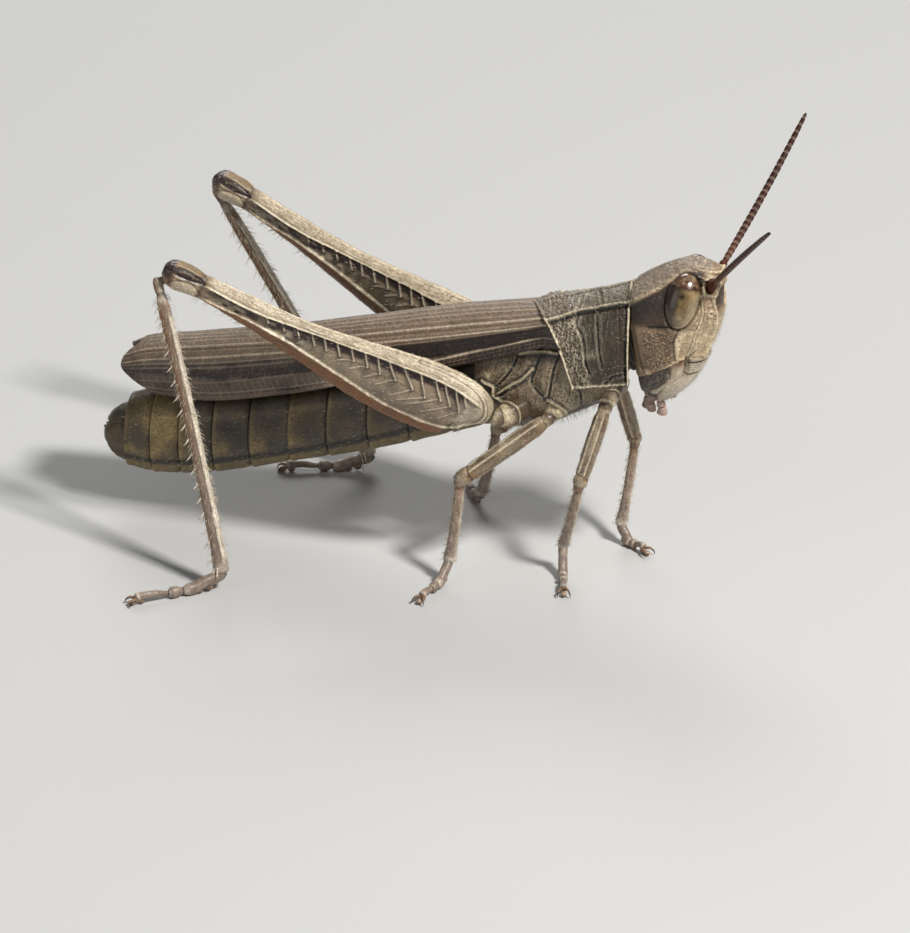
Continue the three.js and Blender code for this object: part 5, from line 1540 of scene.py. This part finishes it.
def jumping_thigh(name):
    """The hind thigh with its keels, ribs, lower flange and knee."""
    at, axis, along, up = jumping_thigh_surface(name)
    outer_turns = evenly(lambda t: at(np.array(0.25), t), -1.7, 1.7, 118)
    inner_turns = evenly(lambda t: at(np.array(0.25), t), 1.7, 2 * np.pi - 1.7, 52)
    turns = np.concatenate([outer_turns, np.where(inner_turns > np.pi, inner_turns - 2 * np.pi, inner_turns)])
    shares = np.concatenate([np.linspace(0.025, 0.05, 12)[:-1], np.linspace(0.05, 0.90, 300)[:-1],
                             np.linspace(0.90, 0.998, 56)])
    share, turn = grid(shares, turns)
    bare = at(share, turn)
    out = normals(bare, axis(share), wrap=True)
    outer = np.abs(turn) < np.pi / 2
    face = np.where(outer, turn, np.sign(turn) * np.pi - turn)
    flat = on_thigh(np.stack([share, face], -1))

    def line(points, steps=8):
        return away(flat, on_thigh(course(points, steps)))

    upper, lower, spine_line, rim = map(line, (UPPER_KEEL, LOWER_KEEL, MIDDLE_LINE, BASE_RIM))
    top_line = UPPER_KEEL[:13]
    top_turn, low_turn = read(top_line, share), read(LOWER_KEEL, share)
    ribs, low_ribs, spots = FAR, FAR, 0
    for k, (top, foot) in enumerate(UPPER_RIBS):
        high, low = read(top_line, top), read(MIDDLE_LINE, foot)
        path = [(top, high), (lerp(top, foot, 0.42), lerp(high, low, 0.5)), (foot, low)]
        ribs = np.minimum(ribs, line(path, 5))
        if k:
            middle = (top + UPPER_RIBS[k - 1][0]) / 2 - 0.004
            spot = flat - on_thigh([middle, high - 0.15])
            spots = np.maximum(spots, ridge(np.hypot(spot[..., 0] * 0.85, spot[..., 1] * 1.25), 0.15))
    for start, foot, low in LOWER_RIBS:
        high = read(MIDDLE_LINE, start)
        path = [(start, high), (lerp(start, foot, 0.5), lerp(high, low, 0.42)), (foot, low)]
        low_ribs = np.minimum(low_ribs, line(path, 5))

    flange = read(LOW_FLANGE, share) * smooth(low_turn - 0.04, -1.35, face)
    bare = bare - up * flange[..., None]

    shaft = smooth(0.05, 0.09, share) * smooth(0.89, 0.84, share)
    field = smooth(0, 0.06, face - low_turn) * smooth(0, 0.06, top_turn - face) * shaft
    above_keel = smooth(0.0, 0.08, face - top_turn) * shaft
    below_keel = smooth(0.0, 0.08, low_turn - face) * shaft
    fade = 0.5 * smooth(0.10, 0.08, share) + 0.5 * smooth(0.69, 0.72, share)
    ribs, low_ribs = ribs + fade, low_ribs + fade
    beads = 0.8 + 0.3 * noise(bare, 0.11, 105)
    soft = noise(bare, 0.4, 100)
    fine = noise(bare, 0.09, 101)
    grit = grains(bare, 0.085, 102)
    top_edge = np.abs(face - 1.40)
    low_edge = np.abs(face + 1.40)
    crest = ridge(turn - np.pi / 2, 0.05) * shaft
    dots = ridge(np.mod(share * THIGH_LENGTH / 0.24, 1) - 0.5, 0.2)

    knee_crescent, lobe, shine = (line(path, 6) for path in (KNEE_CRESCENT, KNEE_LOBE, KNEE_SHINE))
    knee_inside = smooth(0.28, 0.42, face) * smooth(1.0, 0.85, face) * smooth(0.885, 0.90, share)
    knee_inside *= 1 - smooth(0.97, 0.985, share)
    beside = smooth(0.86, 0.88, share) * (1 - smooth(0.34, 0.42, face) * smooth(0.98, 0.90, face))
    knee_shine = ridge(shine, 0.04)
    strands = noise(np.stack([flat[..., 0] * 0.3, flat[..., 1], 0 * share], -1), 0.045, 103)
    granules = grains(bare, 0.075, 104)
    blots = noise(np.stack([flat[..., 0] * 0.5, flat[..., 1], 0 * share], -1), 0.10, 106)
    thin_end = smooth(0.50, 0.62, share)
    gaps = smooth(0.40, 0.26, upper + 0.05 * soft) * (1 - ridge(ribs, 0.05))
    gaps *= smooth(0.10, 0.13, share) * (1 - 0.6 * smooth(0.50, 0.66, share))
    lobe_inside = smooth(-0.9, -0.75, face) * smooth(0.1, -0.05, face)
    lobe_inside *= smooth(0.885, 0.90, share) * smooth(0.97, 0.955, share)
    slit = ridge(np.sin(turn) + 1, 0.12) * smooth(0.90, 0.94, share)
    grooves = ridge(face - 1.12, 0.035) + ridge(face - 0.86, 0.03)

    rise = 0.014 * soft + 0.004 * fine - 0.008 * ridge(grit, 0.3) * (1 - field) + 0.008 * strands * above_keel
    rise += 0.02 * ridge(granules, 0.3) * below_keel
    rise += 0.065 * ridge(upper, 0.045) * shaft + 0.065 * ridge(lower, 0.06) * shaft * beads
    rise += 0.042 * ridge(ribs, 0.025) * field + 0.024 * ridge(low_ribs, 0.024) * field
    rise += 0.012 * ridge(spine_line, 0.03) * field * smooth(0.56, 0.50, share)
    rise += -0.04 * field * (1 - ridge(ribs, 0.06)) + 0.035 * crest
    rise += 0.03 * ridge(rim, 0.04) - 0.02 * ridge(rim - 0.08, 0.03)
    rise += 0.02 * ridge(top_edge, 0.05) * shaft + 0.025 * ridge(low_edge, 0.05) * shaft
    rise += 0.04 * lobe_inside - 0.03 * ridge(lobe, 0.03) * smooth(0.87, 0.89, share)
    rise += -0.03 * ridge(knee_crescent, 0.04) + 0.025 * ridge(knee_crescent - 0.08, 0.03) * beside
    rise += -0.16 * slit - 0.03 * ridge(share - 0.885, 0.006) * smooth(-1.0, -0.6, face)

    # Painted light: the pale lines on the upper and lower ribs are partly their own pale colour and partly
    # painted highlight, and the dark lines beside them are painted shadow.
    paint = {
        "pale": 1.1 * ridge(upper, 0.042) * shaft
            + 1.15 * ridge(lower, 0.06) * shaft * beads * (1 - 0.6 * smooth(0.62, 0.78, share))
            + 0.9 * ridge(rim, 0.035) + 0.4 * smooth(0.13, 0.09, share) * smooth(0.03, 0.1, rim)
            + 0.9 * ridge(ribs, 0.025) * field + 0.55 * ridge(low_ribs, 0.022) * field
            + field * 0.18 * smooth(0.2, 0.5, upper) * smooth(-0.2, 0.4, soft)
            + above_keel * (0.50 + 0.32 * strands) * lerp(1, 0.62, smooth(0.55, 0.8, share))
            + 0.7 * lobe_inside + 0.5 * crest + 0.45 * below_keel * ridge(granules, 0.2)
            + 0.35 * smooth(0.60, 0.75, share) * shaft * smooth(-0.2, 0.4, face)
            + 0.5 * ridge(knee_crescent - 0.08, 0.035) * beside
            + 0.45 * field * thin_end * smooth(0.05, 0.4, blots),
        "warm": 1.1 * below_keel * smooth(-1.6, -1.4, face) + 0.2 * smooth(0.1, 0.6, soft)
            + 0.35 * above_keel * smooth(0.55, 0.8, share) * smooth(0.1, -0.3, strands)
            + 0.45 * ridge(lower, 0.12) * smooth(0.62, 0.78, share) * shaft
            + 0.35 * (1 - shaft) * smooth(0.95, 0.98, share) * (1 - knee_inside - lobe_inside),
        "grey": 0.2 * knee_inside
            + field * (0.42 + 0.3 * smooth(0.0, 0.5, fine)) * (1 - 0.6 * smooth(0.6, 0.75, share))
            + 0.35 * smooth(0.13, 0.09, share),
        "dark": (0.95 * gaps + 0.25 * spots * (1 - ridge(ribs, 0.035))) * field
            # painted shadow beside the upper and lower ribs, on the next line
            + 0.6 * field * ridge(ribs - 0.048, 0.02) + 0.3 * field * ridge(low_ribs - 0.04, 0.016)
            + 0.55 * ridge(upper - 0.085, 0.03) * above_keel
            + 0.4 * above_keel * grooves * smooth(0.4, 0.6, share)
            + 0.12 * below_keel + knee_inside * (1.1 - 0.65 * knee_shine) + 0.6 * ridge(rim - 0.07, 0.022)
            + 0.55 * field * thin_end * smooth(-0.05, -0.4, blots)
            + 0.95 * smooth(0.964, 0.978, share) * smooth(-0.4, 0.1, face)
            + 0.45 * lobe_inside * ridge(granules, 0.26) + 0.5 * ridge(top_edge, 0.05) * dots * shaft
            + 0.9 * ridge(knee_crescent, 0.05) + 0.55 * ridge(lobe, 0.025) * smooth(0.87, 0.89, share)
            + 0.4 * ridge(upper - 0.09, 0.03) * field + 0.3 * ridge(lower - 0.085, 0.03) * field
            + 0.35 * ridge(grit, 0.25) * smooth(0.1, 0.6, soft) + 0.5 * slit
            + 0.5 * ridge(share - 0.885, 0.006) * smooth(-1.0, -0.6, face),
    }
    SKINS[name + "_femur"] = (at, (0.08, 0.98), along)
    return closed(bare, out, paint, rise)


def jumping_shin(name):
    """The hind shin with two rows of thorns, four spurs and the neck that joins it to the knee."""
    leg, kind, _ = joints_of(name)
    table = girths(SHIN_SIZE[kind], [
        [-0.022, .45, .5], [-0.014, .66, .70], [0.0, .78, .80], [0.018, .77, .80], [0.034, .74, .78],
        [0.06, .82, .86], [0.10, .95, .95], [0.5, .96, .98], [0.9, 1.05, 1.06], [0.97, 1.22, 1.22],
        [0.992, 1.15, 1.15], [1.002, .55, .55]])
    at, axis, chord, along, side = limb(leg["heel"], leg["ankle"], (1, 0, 0), table, 2.5, 0.07)
    shares = np.concatenate([np.linspace(-0.022, 0.12, 46)[:-1], np.linspace(0.12, 1.002, 220)])
    share, turn = grid(shares, circle(52))
    bare = at(share, turn)
    out = unit(bare - axis(share))
    soft, grit = noise(bare, 0.25, 110), grains(bare, 0.07, 111)
    shaft = smooth(0.08, 0.14, share) * smooth(0.97, 0.93, share)
    keels = edges_of(turn, (-0.95, -2.2, 0.8, 2.35), 0.16)
    trough = edges_of(turn, (-np.pi / 2,), 0.3)
    rise = 0.012 * soft - 0.010 * ridge(grit, 0.3) + 0.016 * keels * shaft - 0.03 * trough * shaft
    rise += -0.02 * ridge(share - 0.034, 0.006)
    ahead = np.sin(turn)
    line = ridge(ahead - 0.38, 0.09) * shaft
    rise += 0.012 * smooth(0.3, 0.9, ahead) * shaft - 0.010 * line
    paint = {
        "pale": 0.3 * keels * shaft + 0.85 * smooth(0.30, 0.6, ahead) * shaft * (1 - line)
            + 0.5 * ridge(share - 0.055, 0.014)
            + 0.5 * smooth(0.06, 0.03, share) * smooth(-0.3, 0.4, ahead) + 0.4 * ridge(share - 0.98, 0.02)
            + 0.4 * ridge(grit, 0.28) * smooth(0.2, -0.3, ahead) + 0.15 * soft,
        "warm": 0.85 * smooth(0.15, -0.35, ahead) * (1 - 0.45 * smooth(0.35, 0.7, share)) + 0.2 * soft,
        "grey": 0.5 * smooth(0.35, 0.85, share) + 0.15 * smooth(0.1, -0.3, ahead),
        "dark": 0.5 * ridge(share - 0.034, 0.006) + 0.25 * ridge(share - 0.008, 0.008) + 0.45 * line
            + 0.4 * ridge(grit - 0.45, 0.12) * smooth(0.1, -0.4, ahead) + 0.3 * trough * shaft,
    }
    parts = [closed(bare, out, paint, rise)]
    heel, knee = leg["heel"], leg["knee"]
    socket = knee - unit(knee - leg["hip"]) * 0.50 - np.array([0, 0, 0.06])
    bends = [heel + along * 0.12, lerp(heel, socket, 0.18) - along * 0.06, lerp(heel, socket, 0.6), socket]
    parts.append(rod(bends, lambda t: lerp(0.13, 0.12, t), (0, 1, 0), 30, 20,
                     lambda t: {"dark": 0.75 * smooth(0.15, 0.5, t), "warm": 0.5}, dent=0.01))
    for row in (-1, 1):
        for k in range(17):
            s = lerp(0.10, 0.935, (k + 0.5 * (row > 0)) / 16.5)
            root, outward = skin_spot(at, chord, s, -np.pi / 2 + row * 0.62)
            leaning = unit(outward * 0.80 + along * 0.58 + side * row * 0.12)
            length = 0.27 + 0.12 * np.sin(np.pi * s) + 0.03 * scatter(np.array([[k, row, 5]]), 6)[0]
            parts.append(spine(root - outward * 0.03, leaning, length, 0.029, 0.74))
    for turn_at, length in ((-2.3, 0.62), (-0.85, 0.70), (-2.9, 0.42), (-0.25, 0.46)):
        root, outward = skin_spot(at, chord, 0.975, turn_at)
        parts.append(spine(root - outward * 0.04, unit(along * 0.9 + outward * 0.42), length, 0.042, 0.7))
    SKINS[name + "_tibia"] = (at, (0.03, 0.97), along)
    return join(parts)


# The foot's joints: start and end along it, rows of points, size, and how each swells along its length.
FOOT_JOINTS = [
    (-0.03, 0.44, 56, 0.165, [[0, .62], [.12, .95], [.5, .92], [.85, 1.0], [1, .55]]),
    (0.44, 0.60, 34, 0.150, [[0, .5], [.3, .88], [.75, 1.0], [1, .5]]),
    (0.60, 0.97, 56, 0.125, [[0, .45], [.25, .68], [.7, .82], [.93, 1.0], [1, .55]]),
]
FOOT_PADS = ((0.15, 0.12), (0.26, 0.135), (0.38, 0.15), (0.53, 0.145), (0.90, 0.10))
# Bends of a claw: ahead, aside and up from the end of the foot.
CLAW = ((0, 0.05, 0), (0.14, 0.13, 0.03), (0.26, 0.19, -0.05), (0.30, 0.20, -0.165))


def foot(name):
    """Three joints with pads below, then two curved claws and the soft pad between them."""
    leg, kind, _ = joints_of(name)
    ankle = leg["ankle"]
    way = leg["toe"] - ankle
    reach = np.linalg.norm(way) * 0.97
    level = unit(way * np.array([1, 1, 0]))
    across = np.array([-level[1], level[0], 0])
    big = 1.15 if kind == "hind" else 1.0
    height = profile([[-0.03, ankle[2] + 0.06], [0.06, ankle[2] * 0.86], [0.18, 0.25 + ankle[2] * 0.22],
                      [0.36, 0.19], [0.6, 0.20], [0.8, 0.27], [0.97, 0.24], [1.0, 0.22]])
    parts = []
    for low, high, rows, size, swelling in FOOT_JOINTS:
        s = np.linspace(low, high, rows)
        centre = ankle + level * (s * reach)[:, None]
        centre[:, 2] = height(s)[0]
        side, up = frames(centre, UPRIGHT)
        t = (s - low) / (high - low)
        radius = size * big * profile(swelling)(t)[0]
        net = tube(centre, side, up, radius * 0.95, radius, 30, 2.2)
        out = unit(net - centre[:, None])
        soft, grit = noise(net, 0.15, 120), grains(net, 0.06, 121)
        net = net + out * (0.010 * soft - 0.006 * ridge(grit, 0.3))[..., None]
        net[..., 2] = np.maximum(net[..., 2], 0.012)
        t = t[:, None]
        paint = {
            "pale": 0.5 * smooth(0.8, 0.97, t) + 0.3 * soft,
            "grey": 0.5,
            "warm": 0.4 * soft,
            "dark": 0.7 * smooth(0.08, 0.0, t) + 0.45 * smooth(0.95, 1.0, t) + 0.3 * ridge(grit, 0.28),
        }
        parts.append(closed(net, out, paint))
    for s, size in FOOT_PADS:
        middle = ankle + level * (s * reach)
        middle[2] = min(height(s)[0] * 0.55, 0.11 if s > 0.2 else 0.16)
        tall = min(0.105 * big, middle[2] * 0.97)
        parts.append(pad(middle, level, across, size * big, size * 0.75 * big, tall))
    end = ankle + level * (0.955 * reach)
    end[2] = 0.2
    for side in (-1, 1):
        bends = [end + level * ahead + across * side * aside + np.array([0, 0, rise])
                 for ahead, aside, rise in CLAW]
        parts.append(rod(bends, lambda t: 0.052 * big * (1 - 0.9 * t**1.3), UPRIGHT, 30, 14,
                         lambda t: {"dark": 0.95 * smooth(0.4, 0.7, t), "warm": 0.6 * smooth(0.6, 0.3, t)}))
    middle = end + level * 0.15
    middle[2] = 0.10
    parts.append(pad(middle, level, across, 0.12 * big, 0.09 * big, 0.085))
    return join(parts)


def pad(middle, level, across, long, wide, tall):
    """A soft cushion, cut off flat just above the floor."""
    a, b = grid(np.linspace(0.05, np.pi - 0.05, 13), circle(18))
    ball = np.stack([np.sin(a) * np.cos(b), np.sin(a) * np.sin(b), np.cos(a)], -1)
    axes = np.stack([level, across, UPRIGHT])
    points = middle + ball * np.array([long, wide, tall]) @ axes
    points[..., 2] = np.maximum(points[..., 2], 0.002)
    paint = {
        "warm": 0.5,
        "dark": 0.35 * smooth(0.0, -0.8, ball[..., 2]),
        "pale": 0.25 * smooth(-0.2, 0.5, ball[..., 2]),
    }
    return closed(points, ball @ axes, paint)


for name in LEGS:
    hind = name.startswith("hind")
    build(name + "_coxa", coxa(name), SIDE, "cuticle_side", [name + "_coxa"])
    thigh, shin = (jumping_thigh, jumping_shin) if hind else (walking_thigh, walking_shin)
    build(name + "_femur", thigh(name), LEG, "leg_straw", [name + "_femur"])
    build(name + "_tibia", shin(name), SHIN, "leg_pink" if hind else "leg_straw", [name + "_tibia"])
    build(name + "_tarsus", foot(name), SHIN, "leg_pink", [name + "_tarsus"])

# ------------------------------------------------------------ bristles

HAIR_SPOT = np.array([(0, 0), (1, 0), (2, 0), (0, 1), (1, 1), (2, 1), (1, 2)]) * 0.0015
HAIR_QUADS = np.array([(0, 1, 4, 3), (1, 2, 5, 4), (2, 0, 3, 5)])
HAIR_TRIS = np.array([(3, 4, 6), (4, 5, 6), (5, 3, 6)])


def bristles(surface, low, high, count, length, seed, along, across=(0, 2 * np.pi), whole=2 * np.pi, *, lean,
             thick, cell, hairless=None):
    """Fine hairs on a surface of two parameters; each is a three-sided point in two lengths."""
    random = np.random.default_rng(seed)
    a = random.uniform(low, high, count)
    b = random.uniform(*across, count)
    root = surface(a, b)
    if hairless is not None:
        kept = ~hairless(root)
        a, b, root = a[kept], b[kept], root[kept]
        count = len(a)
    step = 0.004
    n = unit(np.cross(surface(a + step, b) - root, surface(a, b + step) - root))
    middle = sum(surface(a, whole * k / 4 + 0.02 * whole + 0 * b) for k in range(4)) / 4
    n = n * np.sign(np.sum(n * (root - middle), axis=-1, keepdims=True))
    way = unit(n * 0.8 + np.asarray(along) * lean + random.normal(0, 0.14, (count, 3)))
    reach = random.uniform(*length, count)[:, None]
    side = unit(np.cross(way, [0.31, 0.17, 0.93]))
    high_side = np.cross(way, side)
    foot = root - n * 0.03
    bow = np.asarray(along) * reach * 0.10
    points = []
    for share, width in ((0.0, 1.0), (0.55, 0.72)):
        for k in range(3):
            spin = 2 * np.pi * k / 3
            ring = side * np.cos(spin) + high_side * np.sin(spin)
            points.append(foot + way * (reach + 0.03) * share - bow * (share > 0) + ring * thick * width)
    points.append(foot + way * (reach + 0.03) + bow * 0.4)
    points = np.stack(points, 1)
    base = (np.arange(count) * 7)[:, None, None]
    place = np.stack([(a - low) / (high - low), (b - across[0]) / (across[1] - across[0])], -1) * 0.17
    corner = np.array([cell % 5, cell // 5]) * 0.2 + 0.01
    spots = corner + place[:, None] + HAIR_SPOT[None]
    tip = np.tile([0, 0, 0, 0.15, 0.15, 0.15, 0.5], count)
    part = shape(points.reshape(-1, 3), (HAIR_QUADS[None] + base).reshape(-1, 4),
                 (HAIR_TRIS[None] + base).reshape(-1, 3), {"dark": tip})
    return part, spots.reshape(-1, 2)


def coat(name, tufts, slot):
    """Join tufts into one piece and give it the UV map OFBake."""
    part = join([piece for piece, _ in tufts])
    spots = np.vstack([spot for _, spot in tufts])
    piece = build(name, part, BRISTLE, slot)
    corners = np.concatenate([part["quads"].ravel(), part["tris"].ravel()])
    layer = piece.data.uv_layers.new(name="OFBake")
    layer.data.foreach_set("uv", np.ascontiguousarray(spots[corners].ravel()))


def hairless_face(points):
    """The eyes, the hollow between the brow keels and the antenna sockets."""
    p = folded(points)
    eye = np.linalg.norm(in_right_eye(p) / EYE_SIZE, axis=-1) < 1.12
    hollow = (np.abs(p[:, 1]) < 0.60) & (np.abs(p[:, 2] - 9.38) < 0.62)
    return eye | hollow | (from_right_antenna(p) < 0.28)


def face_skin(share, turn):
    return head(lerp(7.0, 10.2, share), turn)


def lip_skin(share, turn):
    return head(lerp(5.75, 7.2, share), turn)


def chest_skin(share, turn):
    return trunk(THORAX_AT, 2.5)(lerp(1.4, 5.1, share), turn)


def back_skin(share, turn):
    return trunk(ABDOMEN_AT, 2.2)(lerp(-10.3, 0.8, share), turn)


def tail_skin(share, turn):
    return np.stack([lerp(-11.15, -10.35, share), 0.75 * share ** 0.5 * np.cos(turn),
                     2.35 + lerp(0.1, 0.95, share ** 0.6) * np.sin(turn)], -1)


# Of a hind leg's and of another leg's shin or thigh: number of hairs, their lengths, lean and thickness.
TUFTS = {
    ("hind", "tibia"): (520, (0.169, 0.312), 0.75, 0.0095),
    ("hind", "femur"): (900, (0.06, 0.11), 0.9, 0.0075),
    ("", "tibia"): (260, (0.10, 0.19), 0.75, 0.008),
    ("", "femur"): (260, (0.08, 0.16), 0.9, 0.0075),
}
leg_tufts = []
for number, (name, (skin, (low, high), along)) in enumerate(SKINS.items()):
    kind, _, segment = name.split("_")
    count, reach, lean, thick = TUFTS.get((kind, segment)) or TUFTS["", segment]
    leg_tufts.append(bristles(skin, low, high, count, reach, 200 + number, along, lean=lean, thick=thick,
                              cell=number))
    if (kind, segment) == ("hind", "femur"):
        leg_tufts.append(bristles(skin, 0.06, 0.9, 110, (0.16, 0.30), 240 + number, along, (-1.9, -1.3),
                                  lean=0.25, thick=0.009, cell=12 + number))
coat("leg_bristles", leg_tufts, "leg_straw")

# On the body: surface, number of hairs, their lengths, direction, reach across the surface, lean, thickness.
DOWN, BACK = np.array([0.15, 0, -0.75]), np.array([-1.0, 0, -0.2])
BODY_TUFTS = [
    (face_skin, 900, (0.05, 0.11), DOWN, (-1.0, 1.0), 0.5, 0.0065),
    (lip_skin, 460, (0.07, 0.16), DOWN, (-1.3, 1.3), 0.5, 0.007),
    (chest_skin, 420, (0.12, 0.26), DOWN, (3.9, 5.6), 0.6, 0.0075),
    (chest_skin, 360, (0.06, 0.12), BACK, (2.8, 3.9), 0.8, 0.0065),
    (chest_skin, 360, (0.06, 0.12), BACK, (5.6, 6.7), 0.8, 0.0065),
    (pronotum, 700, (0.035, 0.07), BACK, (0.02, 0.98), 0.9, 0.0055),
    (back_skin, 1300, (0.05, 0.10), BACK, (2.6, 6.8), 1.1, 0.0065),
    (tail_skin, 260, (0.07, 0.15), BACK, (0, 2 * np.pi), 0.8, 0.007),
]
# The stretch of a surface that is hairy, where it isn't 0.02 to 0.98.
ENDS = {pronotum: (0.03, 0.97), tail_skin: (0.1, 0.95)}
body_tufts = []
for number, (skin, count, reach, way, across, lean, thick) in enumerate(BODY_TUFTS):
    body_tufts.append(bristles(skin, *ENDS.get(skin, (0.02, 0.98)), count, reach, 301 + number, way, across,
                               1.0 if skin is pronotum else 2 * np.pi, lean=lean, thick=thick, cell=number,
                               hairless=hairless_face if skin is face_skin else None))
coat("body_bristles", body_tufts, "abdomen")

# ------------------------------------------------------------ studio

# The photo's camera: its three axes and where it stands, in the animal's frame.
WAY_BACK = (0.20195539, -0.87581091, 0.43837115)
WAY_RIGHT = (0.97240638, 0.23268154, 0.01688597)
WAY_UP = (-0.11678979, 0.42286469, 0.89863541)
STAND = np.array([57.3475, -247.9894, 126.5355])


def studio():
    """The camera, floor, lamps and surrounding light of the final picture."""
    scene = bpy.context.scene
    camera = bpy.data.objects.new("camera", bpy.data.cameras.new("camera"))
    scene.collection.objects.link(camera)
    turn = Matrix((WAY_RIGHT, WAY_UP, WAY_BACK)).transposed().to_4x4()
    camera.matrix_world = Matrix.Translation(Vector((STAND + SHIFT) * MM)) @ turn
    camera.data.sensor_width = 36.0
    camera.data.lens = 349.62
    camera.data.clip_start = 0.005
    camera.data.clip_end = 10.0
    scene.camera = camera

    floor_mesh = bpy.data.meshes.new("floor")
    floor_mesh.from_pydata([(-3, -3, 0), (3, -3, 0), (3, 3, 0), (-3, 3, 0)], [], [(0, 1, 2, 3)])
    floor = bpy.data.objects.new("floor", floor_mesh)
    scene.collection.objects.link(floor)
    pale = {"Base Color": (0.55, 0.55, 0.54, 1), "Roughness": 0.8}
    floor.data.materials.append(Graph("studio_floor").skin(pale))

    def lamp(name, place, size, power, colour):
        light = bpy.data.lights.new(name, "AREA")
        light.size = size * MM
        light.energy = power
        light.color = colour
        holder = bpy.data.objects.new(name, light)
        holder.location = Vector(place) * MM
        aim = Vector((1.0, 0.0, 6.0)) * MM - holder.location
        holder.rotation_euler = aim.to_track_quat("-Z", "Y").to_euler()
        scene.collection.objects.link(holder)

    lamp("key", (120, -60, 185), 34, 0.58, (1.0, 0.98, 0.95))
    lamp("fill", (-140, -160, 90), 150, 0.06, (0.94, 0.97, 1.0))
    lamp("rim", (-60, 170, 130), 90, 0.16, (1.0, 0.99, 0.97))

    world = bpy.data.worlds.new("studio")
    world.use_nodes = True
    world.node_tree.nodes["Background"].inputs[0].default_value = (0.86, 0.88, 0.9, 1)
    world.node_tree.nodes["Background"].inputs[1].default_value = 0.19
    scene.world = world
    scene.view_settings.view_transform = "Standard"
    scene.view_settings.look = "None"


studio()
